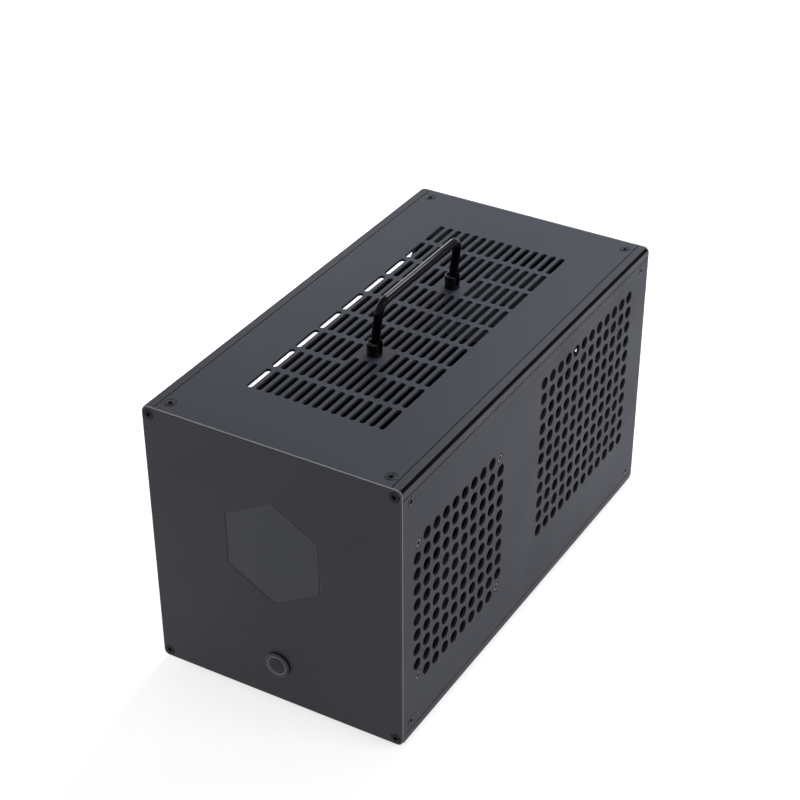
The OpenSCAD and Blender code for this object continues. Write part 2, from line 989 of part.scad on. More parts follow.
// A rotor about the origin: a hub a little taller than its curved blades, and its shaft
module fan_wheel(outer_d, low, high, shaft_end) {
    start = low + hub_over;
    tall = high - hub_over - start;
    sweep = tall * blade_sweep_share;
    root_x = sqrt(hub_d * hub_d - sweep * sweep) / 2 - 2 * blade_t;
    between = 180 / blades;
    translate([0, 0, low])
        rotate(between)
            cylinder(h = high - low, d = hub_d);
    translate([0, 0, low])
        cylinder(h = shaft_end - low, d = shaft_d);
    intersection() {
        translate([0, 0, start - cut])
            rotate(between)
                cylinder(h = tall + 2 * cut, d = outer_d);
        for (k = [0 : blades - 1])
            rotate(k * 360 / blades)
                translate([root_x, 0, start])
                    rotate([90, 0, 90])
                        linear_extrude(outer_d)
                            blade_section(tall);
    }
}
hub_over = 1;

// Stands a fan's axis along X, with its air side towards the right wall
module stand_fan(x, y, z) {
    translate([x, y, z])
        rotate([0, -90, 0])
            children();
}

module fan_frame() {
    color([0.07, 0.07, 0.07])
        stand_fan(inner_x - apart / 2, fan_y, fan_axis_z)
            square_fan_frame(fan_side, fan_depth, fan_bore, fan_screw_pitch);
}

module fan_rotor() {
    color([0.09, 0.09, 0.1])
        stand_fan(inner_x - apart / 2, fan_y, fan_axis_z)
            fan_wheel(rotor_d, rotor_rise, fan_depth - strut_t - apart, fan_depth - strut_t / 2);
}

module fan_screws() {
    color([0.75, 0.75, 0.76])
        translate([half_w, 0, 0])
            at_fan_screws()
                facing_right()
                    flat_screw(fan_head_d, shank_d, fan_screw_len, key_d);
}

// Rows of air holes in the back of the power supply, above its inlet
module psu_vents() {
    for (x = spread(psu_vent_cols, psu_vent_pitch), y = spread(psu_vent_rows, psu_vent_pitch))
        translate([x, y])
            circle(d = psu_vent_d, $fn = 16);
}

module psu_case() {
    mid_x = (psu_x0 + psu_x1) / 2;
    vent_z = psu_z0 + psu_h - psu_vent_rows * psu_vent_pitch / 2 - psu_screw_edge * 2;
    color([0.14, 0.14, 0.15])
        difference() {
            translate([psu_x0, psu_y0, psu_z0])
                cube([psu_w, psu_d, psu_h]);
            translate([psu_x0 + psu_wall, psu_y0 + psu_wall, psu_z0 + psu_wall])
                cube([psu_w - 2 * psu_wall, psu_d - 2 * psu_wall, psu_h - 2 * psu_wall]);
            translate([psu_x1 - psu_wall - cut, psu_fan_y, psu_fan_z])
                rotate([0, 90, 0])
                    cylinder(h = psu_wall + 2 * cut, d = psu_fan_bore);
            translate([mid_x, psu_y1 + cut, vent_z])
                rotate([90, 0, 0])
                    linear_extrude(psu_wall + 2 * cut)
                        psu_vents();
            translate([inlet_x() - inlet_w / 2, psu_y1 - psu_wall - cut, inlet_z - inlet_h / 2])
                cube([inlet_w, psu_wall + 2 * cut, inlet_h]);
            translate([switch_x() - switch_w / 2, psu_y1 - psu_wall - cut, inlet_z - switch_h / 2])
                cube([switch_w, psu_wall + 2 * cut, switch_h]);
            translate([0, psu_y1, 0])
                at_psu_screws()
                    translate([0, -psu_wall / 2, 0])
                        rotate([90, 0, 0])
                            cylinder(h = psu_wall + 2 * cut, d = small_shank_d + 2 * play, center = true);
            translate([lead_x, psu_y0 - cut, lead_out_z])
                rotate([-90, 0, 0])
                    cylinder(h = psu_wall + 2 * cut, d = power_lead_d + 2 * play);
        }
}

// The inlet and the switch stand side by side near the bottom
function pair_w() = inlet_w + switch_gap + switch_w;
function inlet_x() = (psu_x0 + psu_x1) / 2 - pair_w() / 2 + inlet_w / 2;
function switch_x() = (psu_x0 + psu_x1) / 2 + pair_w() / 2 - switch_w / 2;

// Board, heat sinks, transformer and capacitors on the wall away from the fan
module psu_electronics() {
    wall_x = psu_x0 + psu_wall;
    room_y = psu_d - 2 * psu_wall - inlet_deep - switch_gap;
    room_z = psu_h - 2 * psu_wall;
    tall = psu_w * psu_parts_share;
    color([0.2, 0.3, 0.2])
        translate([wall_x, psu_y0 + psu_wall + power_lead_d, psu_z0 + psu_wall]) {
            cube([board_t, room_y - power_lead_d, room_z]);
            for (part = psu_part_shares)
                translate([board_t, part[0] * room_y, part[1] * room_z])
                    cube([part[4] * tall, part[2] * room_y, part[3] * room_z]);
            for (spot = psu_can_shares)
                translate([board_t, spot[0] * room_y, spot[1] * room_z])
                    rotate([0, 90, 0])
                        cylinder(h = spot[3] * tall, r = spot[2] * room_z);
        }
}
psu_parts_share = 0.5;
// Each block's place and size as shares of the room: y, z, length, height, depth
psu_part_shares = [[0.1, 0.3, 0.6, 0.04, 0.9], [0.1, 0.62, 0.6, 0.04, 0.9], [0.34, 0.38, 0.22, 0.2, 0.8]];
// Each can's place, radius and depth as shares
psu_can_shares = [[0.2, 0.82, 0.08, 0.9], [0.45, 0.82, 0.08, 0.9], [0.2, 0.15, 0.06, 0.6], [0.4, 0.15, 0.06, 0.6]];

module psu_fan_frame() {
    depth = psu_rotor_depth + rotor_rise;
    color([0.07, 0.07, 0.07])
        stand_fan(psu_x1 - psu_wall, psu_fan_y, psu_fan_z)
            square_fan_frame(fan_side, depth, psu_fan_bore, fan_screw_pitch);
}

module psu_fan_rotor() {
    depth = psu_rotor_depth + rotor_rise;
    color([0.09, 0.09, 0.1])
        stand_fan(psu_x1 - psu_wall, psu_fan_y, psu_fan_z)
            fan_wheel(psu_rotor_d, rotor_rise, depth - strut_t - apart, depth - strut_t / 2);
}

// Wire rings and two cross wires over the power supply's fan
module psu_fan_guard() {
    outer = psu_fan_bore / 2 + guard_wire;
    step = (outer - hub_d / 2) / (guard_rings - 1);
    color([0.6, 0.6, 0.62])
        translate([psu_x1 + guard_wire / 2, psu_fan_y, psu_fan_z])
            rotate([0, 90, 0]) {
                for (k = [0 : guard_rings - 1])
                    rotate_extrude()
                        translate([outer - k * step, 0])
                            circle(d = guard_wire, $fn = 16);
                for (a = [45, 135])
                    rotate(a)
                        rotate([0, 90, 0])
                            cylinder(h = 2 * outer, d = guard_wire * wire_share, center = true, $fn = 16);
            }
}
wire_share = 0.9;

// Mains inlet: a rim, a body and a hollow with three blades
module psu_inlet() {
    hollow_w = inlet_w - 2 * inlet_rim;
    hollow_h = inlet_h - 2 * inlet_rim;
    color([0.05, 0.05, 0.05])
        translate([inlet_x(), psu_y1, inlet_z])
            rotate([90, 0, 0]) {
                difference() {
                    translate([0, 0, -plate_t / 2])
                        linear_extrude(inlet_deep)
                            rounded(inlet_w - seam, inlet_h - seam, inlet_rim);
                    translate([0, 0, -plate_t / 2 - cut])
                        linear_extrude(inlet_deep - inlet_rim + cut)
                            rounded(hollow_w, hollow_h, inlet_rim);
                }
                for (x = [-1, 0, 1])
                    translate([x * hollow_w * blade_place_share, x == 0 ? -inlet_rim : inlet_rim, blade_sunk])
                        linear_extrude(inlet_deep - inlet_rim - blade_sunk)
                            square([inlet_rim, inlet_rim * 2], center = true);
            }
}
blade_place_share = 0.3;

// The switch's housing, open at the back of the box, with two ears for the rocker's axle
module psu_switch_body() {
    color([0.05, 0.05, 0.05])
        translate([switch_x(), psu_y1, inlet_z])
            difference() {
                translate([-switch_w / 2 + seam / 2, -switch_deep + plate_t / 2, -switch_h / 2 + seam / 2])
                    cube([switch_w - seam, switch_deep, switch_h - seam]);
                translate([-rocker_w() / 2 - apart, -switch_deep * rocker_room_share, -rocker_h() / 2 - apart])
                    cube([rocker_w() + 2 * apart, switch_deep, rocker_h() + 2 * apart]);
                translate([-switch_w, -rocker_sunk, 0])
                    rotate([0, 90, 0])
                        cylinder(h = 2 * switch_w, d = rocker_pin_d);
            }
}
rocker_room_share = 0.65;
rocker_sunk = 4;
rocker_pin_d = 2;
rocker_wall = 1.6;
function rocker_w() = switch_w - 2 * rocker_wall - 2 * apart;
function rocker_h() = switch_h - 2 * rocker_wall - 2 * apart;

// The rocker: a round back on its axle, with a shallow vee in its face, tipped to one side
module psu_switch_rocker() {
    half = rocker_h() / 2;
    face = rocker_sunk + plate_t / 2;
    color([0.03, 0.03, 0.03])
        translate([switch_x(), psu_y1 - rocker_sunk, inlet_z])
            rotate([rocker_tilt, 0, 0]) {
                rotate([90, 0, 90])
                    translate([0, 0, -rocker_w() / 2])
                        linear_extrude(rocker_w())
                            polygon([
                                [-half * rocker_foot_share, -half], [face, -half * rocker_lip_share],
                                [face * rocker_vee_share, 0], [face, half * rocker_lip_share],
                                [-half * rocker_foot_share, half], [-half * rocker_keel_share, 0]
                            ]);
                rotate([0, 90, 0])
                    cylinder(h = switch_w - 2 * seam, d = rocker_pin_d - 2 * play, center = true);
            }
}
rocker_foot_share = 0.02;
rocker_lip_share = 0.86;
rocker_vee_share = 0.7;
rocker_keel_share = 0.4;

module psu_screws() {
    color([0.1, 0.1, 0.1])
        translate([0, half_d, 0])
            at_psu_screws()
                facing_back()
                    flat_screw(small_head_d, small_shank_d, small_screw_len, key_d * small_key_share);
}
small_key_share = 0.8;

// Corner places of the dock board's standoffs
module at_standoffs() {
    for (x = [board_x0 + board_step + board_hole_inset, stand_x1],
        y = [board_y0 + board_hole_inset, board_y1 - board_step])
        translate([x, y, 0])
            children();
    for (y = [board_y0 + board_hole_inset, bracket_y - board_step])
        translate([board_x0 + board_hole_inset, y, 0])
            children();
}

// The board steps back at its rear left, where the card frame stands
module dock_board() {
    color([0.05, 0.2, 0.1])
        translate([0, 0, board_z])
            linear_extrude(board_t)
                difference() {
                    translate([board_x0, board_y0])
                        square([board_w, board_len]);
                    translate([board_x0 - cut, bracket_y - board_notch])
                        square([frame_x1 - board_x0 + apart + cut, board_len]);
                    at_standoffs()
                        circle(d = small_shank_d + 2 * play);
                }
}

// The free field of the board, between the card socket, the power socket and the card frame
field_x0 = card_x + socket_w / 2 + field_edge;
field_x1 = board_x1 - field_edge;
field_y0 = lead_down_y + header_w + field_edge;
field_y1 = bracket_y - board_step;
field_w = field_x1 - field_x0;
field_len = field_y1 - field_y0;

// Chips, chokes and cans in that field: places and sides as shares of it, heights in steps
module board_parts() {
    color([0.1, 0.1, 0.1])
        translate([field_x0, field_y0, board_top]) {
            for (chip = chip_shares)
                translate([chip[0] * field_w, chip[1] * field_len, 0])
                    cube([chip[2] * field_w, chip[3] * field_len, chip[4] * chip_step]);
            for (can = can_shares)
                translate([can[0] * field_w, can[1] * field_len, 0])
                    cylinder(h = can_h, d = can_d);
        }
}
chip_step = 1.4;
can_d = 5.4;
can_h = 8;
chip_shares = [[0.06, 0.24, 0.09, 0.09, 1], [0.36, 0.04, 0.07, 0.07, 2], [0.5, 0.04, 0.07, 0.07, 2],
    [0.64, 0.04, 0.07, 0.07, 2], [0.75, 0.56, 0.07, 0.2, 3], [0.15, 0.86, 0.12, 0.09, 1]];
can_shares = [[0.36, 0.3], [0.46, 0.3], [0.56, 0.3], [0.66, 0.3]];

// Finned block on the host controller
module board_heatsink() {
    side = field_w * heatsink_share;
    fin = side / (2 * heatsink_fins - 1);
    color([0.6, 0.6, 0.62])
        translate([field_x0 + field_w * heatsink_place_shares[0], field_y0 + field_len * heatsink_place_shares[1],
            board_top]) {
            cube([side, side, fin]);
            for (k = [0 : heatsink_fins - 1])
                translate([2 * k * fin, 0, 0])
                    cube([fin, side, side * heatsink_rise_share]);
        }
}
heatsink_share = 0.35;
heatsink_fins = 7;
heatsink_rise_share = 0.36;
heatsink_place_shares = [0.38, 0.64];

module board_standoffs() {
    color([0.75, 0.65, 0.3])
        at_standoffs()
            translate([0, 0, floor_z])
                difference() {
                    cylinder(h = standoff_h, d = standoff_d / cos(30), $fn = 6);
                    translate([0, 0, -cut])
                        cylinder(h = standoff_h + 2 * cut, d = small_shank_d + 2 * play);
                }
}

// Screws down into the standoffs, and others up through the bottom panel
module board_screws() {
    half = (standoff_h - apart) / 2;
    color([0.6, 0.6, 0.62])
        at_standoffs() {
            translate([0, 0, board_top])
                pan_screw(small_head_d, small_head_d * screw_rise_share, small_shank_d, board_t + half,
                    key_d * small_key_share);
            translate([0, 0, base_z])
                mirror([0, 0, 1])
                    flat_screw(small_head_d, small_shank_d, panel_t + half, key_d * small_key_share);
        }
}
screw_rise_share = 0.36;

// The card's socket with its long slit
module card_socket() {
    color([0.08, 0.08, 0.09])
        difference() {
            translate([card_x - socket_w / 2, socket_y0, board_top])
                cube([socket_w, socket_len, socket_h]);
            translate([card_x - socket_slit / 2, socket_y0 + socket_w / 2, board_top + socket_h - socket_slit_deep])
                cube([socket_slit, socket_len - socket_w, socket_slit_deep + cut]);
            translate([card_x - socket_w / 2 - cut, socket_y0 - cut, board_top + socket_h * latch_cut_share])
                cube([socket_w + 2 * cut, latch_seat + cut, socket_h]);
        }
    color([0.08, 0.08, 0.09])
        for (side = [-1, 1])
            translate([card_x + side * (latch_w / 2 + apart + latch_ear / 2), socket_y0 - latch_len / 2, board_top])
                latch_ear_block();
}
latch_cut_share = 0.6;
latch_seat = 2;
latch_ear = 1.4;

// One of the two ears that carry the latch's axle
module latch_ear_block() {
    difference() {
        translate([-latch_ear / 2, -latch_len / 2, 0])
            cube([latch_ear, latch_len + latch_seat, latch_axle_h * 2]);
        translate([-latch_ear, 0, latch_axle_h])
            rotate([0, 90, 0])
                cylinder(h = 2 * latch_ear, d = latch_pin_d);
    }
}
latch_axle_h = 3.5;

// The latch that holds a card's hook: it tips forward about its axle
module socket_latch() {
    width = latch_w - 2 * play;
    color([0.75, 0.75, 0.72])
        translate([card_x, socket_y0 - latch_len / 2, board_top + latch_axle_h]) {
            rotate([0, 90, 0])
                cylinder(h = latch_w + 2 * latch_ear, d = latch_pin_d - 2 * play, center = true);
            rotate([90, 0, 90])
                translate([0, 0, -width / 2])
                    linear_extrude(width)
                        polygon([
                            [-latch_len * 0.2, -latch_axle_h * latch_low_share],
                            [latch_len * 0.3, -latch_axle_h * latch_low_share],
                            [latch_len * 0.34, latch_h * 0.5], [latch_len * 0.1, latch_h * 0.72],
                            [-latch_len * 0.4, latch_h * 0.78], [-latch_len * 0.62, latch_h * 0.7],
                            [-latch_len * 0.3, latch_h * 0.45]
                        ]);
        }
}
latch_low_share = 0.8;

// Sockets for the power lead, and headers for the button's and the fan's leads
module power_socket() {
    side = power_lead_d + header_w / 2;
    color([0.85, 0.84, 0.8]) {
        translate([lead_x - side / 2, lead_down_y - side / 2, board_top])
            cube([side, side, header_h + standoff_h]);
        translate([-header_w / 2, header_y() - header_w / 2, board_top])
            cube([header_w, header_w, header_h]);
        translate([fan_lead_x() - header_w / 2, fan_header_y(), board_top])
            cube([header_w, header_w, header_h]);
    }
}
function header_y() = board_y0 + 2 * header_w;
function fan_lead_x() = inner_x - apart / 2 - fan_depth + fan_lip / 2;
function fan_header_y() = fan_y + fan_side * fan_lead_share + thin_bend + fan_lead_run;

// Two small host sockets at the back edge of the board
module host_ports() {
    color([0.65, 0.65, 0.67])
        for (x = port_x)
            translate([x, half_d - plate_t / 2, port_z])
                rotate([90, 0, 0]) {
                    difference() {
                        linear_extrude(port_len)
                            rotate(90)
                                slot(port_w, port_h);
                        translate([0, 0, -cut])
                            linear_extrude(port_len - port_wall + cut)
                                rotate(90)
                                    slot(port_w - 2 * port_wall, port_h - 2 * port_wall);
                    }
                    linear_extrude(port_len)
                        square([port_w * port_tongue_share, port_wall * 2], center = true);
                }
}
port_tongue_share = 0.66;

// Lead from the power supply, out of its front and down into its socket
module power_lead() {
    end_z = board_top + header_h + standoff_h;
    color([0.04, 0.04, 0.04]) {
        translate([lead_x, psu_y0 + psu_wall, lead_out_z])
            rotate([90, 0, 0])
                cylinder(h = header_w + psu_wall, d = power_lead_d);
        translate([lead_x, psu_y0 - header_w, lead_out_z - power_bend])
            rotate([0, -90, 0])
                rotate([0, 0, 180])
                    mirror([1, 0, 0])
                        elbow(power_bend, power_lead_d);
        translate([lead_x, lead_down_y, end_z])
            cylinder(h = lead_out_z - power_bend - end_z, d = power_lead_d);
    }
}

// Lead from the button's back, level and then down into its header
module button_lead() {
    start_y = -half_d + barrel_len;
    end_z = board_top + header_h;
    bend_z = button_axis_z - thin_bend;
    color([0.04, 0.04, 0.04]) {
        translate([0, start_y, button_axis_z])
            rotate([-90, 0, 0])
                cylinder(h = header_y() - thin_bend - start_y, d = thin_lead_d);
        translate([0, header_y() - thin_bend, bend_z])
            rotate([0, -90, 0])
                elbow(thin_bend, thin_lead_d);
        translate([0, header_y(), end_z])
            cylinder(h = bend_z - end_z, d = thin_lead_d);
    }
}

// Lead from the fan frame, down and then back to its header
module fan_lead() {
    top = fan_axis_z - fan_side / 2;
    low = board_top + small_head_d * screw_rise_share + thin_lead_d / 2 + apart;
    start_y = fan_y + fan_side * fan_lead_share;
    color([0.04, 0.04, 0.04]) {
        translate([fan_lead_x(), start_y, low + thin_bend])
            cylinder(h = top - low - thin_bend, d = thin_lead_d);
        translate([fan_lead_x(), start_y + thin_bend, low + thin_bend])
            rotate([0, -90, 0])
                rotate([0, 0, 180])
                    elbow(thin_bend, thin_lead_d);
        translate([fan_lead_x(), start_y + thin_bend, low])
            rotate([-90, 0, 0])
                cylinder(h = fan_header_y() - start_y - thin_bend, d = thin_lead_d);
    }
}
fan_lead_share = 0.3;
fan_lead_run = 54;

function cover_x(k) = frame_x1 - frame_margin - bracket_w / 2 - k * bracket_pitch;

// Folded sheet that takes the cards' brackets: a face with openings between four flanges to the back plate
module card_frame() {
    w = frame_x1 - frame_x0;
    tall = shelf_z - frame_low;
    deep = bracket_setback + frame_t;
    open_h = tall - 4 * frame_t;
    color([0.3, 0.3, 0.32])
        difference() {
            translate([frame_x0, bracket_y - frame_t, frame_low])
                cube([w, deep, tall]);
            translate([frame_x0 + frame_t, bracket_y, frame_low + frame_t])
                cube([w - 2 * frame_t, deep, tall - 2 * frame_t]);
            for (k = [0 : card_slots - 1]) {
                translate([cover_x(k) - bracket_hole_w / 2, bracket_y - frame_t - cut, frame_low + 2 * frame_t])
                    cube([bracket_hole_w, frame_t + 2 * cut, open_h]);
                translate([cover_x(k), bracket_y + bracket_lip / 2, shelf_z - frame_t - cut])
                    cylinder(h = frame_t + 2 * cut, d = cover_screw_d + 2 * play);
            }
        }
}

// A blank that closes one card slot: a strip inside the frame's face and a tab out over its shelf
module slot_cover(k) {
    strip_y = bracket_y - frame_t - play - cover_t;
    strip_z = board_top - bracket_foot;
    color([0.55, 0.55, 0.57])
        difference() {
            union() {
                translate([cover_x(k) - bracket_w / 2, strip_y, strip_z])
                    cube([bracket_w, cover_t, shelf_z + play + cover_t - strip_z]);
                translate([cover_x(k) - bracket_w / 2, strip_y, shelf_z + play])
                    cube([bracket_w, bracket_y - strip_y + bracket_lip, cover_t]);
            }
            translate([cover_x(k), bracket_y + bracket_lip / 2, shelf_z - cut])
                cylinder(h = cover_t + 2 * cut, d = cover_screw_d + 2 * play);
        }
}

module slot_cover_1() {
    slot_cover(0);
}

module slot_cover_2() {
    slot_cover(1);
}

module slot_cover_3() {
    slot_cover(2);
}

module slot_cover_screws() {
    color([0.7, 0.7, 0.72])
        for (k = [0 : card_slots - 1])
            translate([cover_x(k), bracket_y + bracket_lip / 2, shelf_z + cover_t + play])
                pan_screw(cover_head_d, cover_head_t, cover_screw_d, cover_screw_len, key_d);
}

front_plate();
back_plate();
rail(-1, 1);  // rail_top_left
rail(1, 1);  // rail_top_right
rail(-1, -1);  // rail_bottom_left
rail(1, -1);  // rail_bottom_right
top_panel();
bottom_panel();
left_panel();
right_panel();
front_plate_screws();
back_plate_screws();
top_panel_screws();
bottom_panel_screws();
left_panel_screws();
right_panel_screws();
rubber_feet();
foot_screws();
handle_post_front();
handle_post_rear();
handle_bar();
handle_pins();
handle_screws();
button_body();
button_light_ring();
button_cap();
button_nut();
fan_frame();
fan_rotor();
fan_screws();
psu_case();
psu_electronics();
psu_fan_frame();
psu_fan_rotor();
psu_fan_guard();
psu_inlet();
psu_switch_body();
psu_switch_rocker();
psu_screws();
dock_board();
board_parts();
board_heatsink();
board_standoffs();
board_screws();
card_socket();
socket_latch();
power_socket();
host_ports();
power_lead();
button_lead();
fan_lead();
card_frame();
slot_cover_1();
slot_cover_2();
slot_cover_3();
slot_cover_screws();
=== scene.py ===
import bpy
import json
import math
import numpy as np
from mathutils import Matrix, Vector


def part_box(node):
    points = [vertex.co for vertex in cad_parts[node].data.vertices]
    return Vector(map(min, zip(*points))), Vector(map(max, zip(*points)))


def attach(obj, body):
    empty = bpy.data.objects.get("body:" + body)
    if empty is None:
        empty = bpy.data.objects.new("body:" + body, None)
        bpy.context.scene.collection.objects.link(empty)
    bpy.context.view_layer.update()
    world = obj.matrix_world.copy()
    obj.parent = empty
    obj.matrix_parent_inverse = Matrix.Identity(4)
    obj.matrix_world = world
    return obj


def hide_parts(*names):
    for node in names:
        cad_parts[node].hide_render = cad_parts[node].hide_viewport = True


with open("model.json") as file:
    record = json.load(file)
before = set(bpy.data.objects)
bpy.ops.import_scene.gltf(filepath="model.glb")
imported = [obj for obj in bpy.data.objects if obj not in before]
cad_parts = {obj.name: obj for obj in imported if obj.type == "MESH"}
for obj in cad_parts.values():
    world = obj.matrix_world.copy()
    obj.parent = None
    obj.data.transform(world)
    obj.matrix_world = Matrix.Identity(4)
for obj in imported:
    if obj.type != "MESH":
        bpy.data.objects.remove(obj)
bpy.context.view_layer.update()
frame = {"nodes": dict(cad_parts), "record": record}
nodes = frame["nodes"]
print("frame loaded:", len(nodes), "nodes")


# helpers for meshes
# Vertices and faces of a grid points[u, v]: neighbours in u and v make a quad; a cap's pole is a row's mean.
def meshFromGrid(points, aroundU=False, aroundV=False, capStart=False, capEnd=False):
    nu, nv = points.shape[:2]
    index = np.arange(nu * nv).reshape(nu, nv)
    rows = index if not aroundU else np.vstack([index, index[:1]])
    cols = rows if not aroundV else np.hstack([rows, rows[:, :1]])
    quads = np.stack([cols[:-1, :-1], cols[1:, :-1], cols[1:, 1:], cols[:-1, 1:]], -1).reshape(-1, 4)
    verts = points.reshape(-1, 3)
    faces = quads.tolist()
    if capStart:
        verts = np.vstack([verts, points[0].mean(0)])
        ring = cols[0]
        pole = np.full(len(ring) - 1, len(verts) - 1)
        faces += np.stack([pole, ring[:-1], ring[1:]], -1).tolist()
    if capEnd:
        verts = np.vstack([verts, points[-1].mean(0)])
        ring = cols[-1]
        pole = np.full(len(ring) - 1, len(verts) - 1)
        faces += np.stack([pole, ring[1:], ring[:-1]], -1).tolist()
    return verts, faces


# One list of vertices and faces out of several.
def joinParts(parts):
    verts, faces, start = [], [], 0
    for partVerts, partFaces in parts:
        verts.append(partVerts)
        faces += [[corner + start for corner in face] for face in partFaces]
        start += len(partVerts)
    return np.vstack(verts), faces


# A smooth piece with one material, on its body.
def makePiece(name, parts, material, body, smoothAngle=35.0):
    verts, faces = joinParts(parts)
    mesh = bpy.data.meshes.new(name)
    mesh.from_pydata(verts.tolist(), [], faces)
    mesh.polygons.foreach_set("use_smooth", np.ones(len(mesh.polygons), bool))
    mesh.update()
    mesh.set_sharp_from_angle(angle=math.radians(smoothAngle))
    mesh.materials.append(material)
    piece = bpy.data.objects.new(name, mesh)
    bpy.context.scene.collection.objects.link(piece)
    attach(piece, body)
    return piece


# A hexagon's reach at an angle, as a share of its corners' reach: cos(30) / cos(angle in its sixth - 30).
def hexShare(angle):
    return math.cos(math.pi / 6) / np.cos((angle % (math.pi / 3)) - math.pi / 6)


# A surface of revolution about Z: the profile's (radius, height) rows carried round; those in hexRows are
# hexagons.
def turned(profile, steps=64, hexRows=()):
    profile = np.asarray(profile, float)
    angle = np.linspace(0, 2 * np.pi, steps, endpoint=False)
    radius = np.repeat(profile[:, :1], steps, 1)
    for row in hexRows:
        radius[row] = profile[row, 0] * hexShare(angle)
    height = np.repeat(profile[:, 1:2], steps, 1)
    return np.stack([radius * np.cos(angle), radius * np.sin(angle), height], -1)


# A quarter of a circle as profile rows, from (radius - soft, height) down to (radius, height - soft).
def quarterRound(radius, height, soft, steps):
    turn = np.linspace(0, np.pi / 2, steps)
    return np.stack([radius - soft + soft * np.sin(turn), height - soft * (1 - np.cos(turn))], 1)


# Points in a local frame, turned onto three axes and moved to an origin.
def placed(points, axisX, axisY, axisZ, origin):
    return points @ np.array([axisX, axisY, axisZ], float) + np.asarray(origin, float)


# A node's two box corners, as arrays.
def boxOf(node):
    return (np.array(corner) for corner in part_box(node))


# helpers for materials
def addNode(tree, kind, **values):
    node = tree.nodes.new(kind)
    for key, value in values.items():
        setattr(node, key, value)
    return node


# A socket takes a link from another socket, or a plain value.
def feed(tree, socket, value):
    if isinstance(value, bpy.types.NodeSocket):
        tree.links.new(value, socket)
    else:
        socket.default_value = value


def feedNamed(tree, node, values):
    for socketName, value in values.items():
        feed(tree, node.inputs[socketName], value)


def mathOf(tree, operation, *values):
    node = addNode(tree, "ShaderNodeMath", operation=operation)
    for socket, value in zip(node.inputs, values):
        feed(tree, socket, value)
    return node.outputs[0]


# Vector Math; the operations that give one number give it at Value.
def vectorOf(tree, operation, *values):
    node = addNode(tree, "ShaderNodeVectorMath", operation=operation)
    for socket, value in zip(node.inputs, values):
        feed(tree, socket, value)
    return node.outputs["Value" if operation in ("DOT_PRODUCT", "LENGTH") else "Vector"]


# A value carried from one range to another.
def rangeOf(tree, value, fromRange, toRange=(0.0, 1.0)):
    node = addNode(tree, "ShaderNodeMapRange")
    names = ("Value", "From Min", "From Max", "To Min", "To Max")
    feedNamed(tree, node, dict(zip(names, (value, *fromRange, *toRange))))
    return node.outputs[0]


# A colour or number mixed towards a plain one; Mix has sockets for each kind, so they are found by number.
mixSockets = {"RGBA": (6, 7, 2), "FLOAT": (2, 3, 0)}


def mixTo(tree, kind, factor, first, second):
    node = addNode(tree, "ShaderNodeMix", data_type=kind)
    firstAt, secondAt, resultAt = mixSockets[kind]
    feed(tree, node.inputs["Factor"], factor)
    feed(tree, node.inputs[firstAt], first)
    feed(tree, node.inputs[secondAt], second)
    return node.outputs[resultAt]


# A node group with named sockets; its own inner sockets come back with it.
def newGroup(name, takes, gives):
    group = bpy.data.node_groups.new(name, "ShaderNodeTree")
    for direction, sockets in (("INPUT", takes), ("OUTPUT", gives)):
        for socketName, kind in sockets.items():
            group.interface.new_socket(name=socketName, in_out=direction, socket_type="NodeSocket" + kind)
    return group, addNode(group, "NodeGroupInput").outputs, addNode(group, "NodeGroupOutput").inputs


effectLook = dict(grainDetail=3.0, cloudDetail=4.0, noiseMiddle=0.5, cloudRange=(0.3, 0.7), rollSamples=4,
                  edgeDots=(0.985, 0.8), sideDots=(0.8, 0.6), plateAxis=(0, 1, 0), bumpShare=0.4)


# Fine grain of a coating: fast noise for the grains, slow noise for the cloudiness of the coat.
def buildGrainGroup():
    takes = {"Place": "Vector", "Base": "Color"}
    for socketName in ("Grain size", "Grain tone", "Cloud size", "Cloud tone", "Gloss low", "Gloss high"):
        takes[socketName] = "Float"
    group, inside, outside = newGroup("coatGrain", takes,
                                      {"Colour": "Color", "Roughness": "Float", "Height": "Float"})

    def noiseAt(sizeName, detail):
        noise = addNode(group, "ShaderNodeTexNoise")
        scale = mathOf(group, "DIVIDE", 1.0, inside[sizeName])
        feedNamed(group, noise, {"Detail": detail, "Vector": inside["Place"], "Scale": scale})
        return noise.outputs["Fac"]

    def toneOf(noise, amountName):
        centred = mathOf(group, "SUBTRACT", noise, effectLook["noiseMiddle"])
        return mathOf(group, "MULTIPLY", centred, inside[amountName])

    grain = noiseAt("Grain size", effectLook["grainDetail"])
    cloud = noiseAt("Cloud size", effectLook["cloudDetail"])
    both = mathOf(group, "ADD", toneOf(grain, "Grain tone"), toneOf(cloud, "Cloud tone"))
    colour = addNode(group, "ShaderNodeVectorMath", operation="SCALE")
    feed(group, colour.inputs[0], inside["Base"])
    feed(group, colour.inputs["Scale"], mathOf(group, "ADD", both, 1.0))
    feed(group, outside["Colour"], colour.outputs[0])
    gloss = rangeOf(group, cloud, effectLook["cloudRange"], (inside["Gloss low"], inside["Gloss high"]))
    feed(group, outside["Roughness"], gloss)
    feed(group, outside["Height"], grain)
    return group


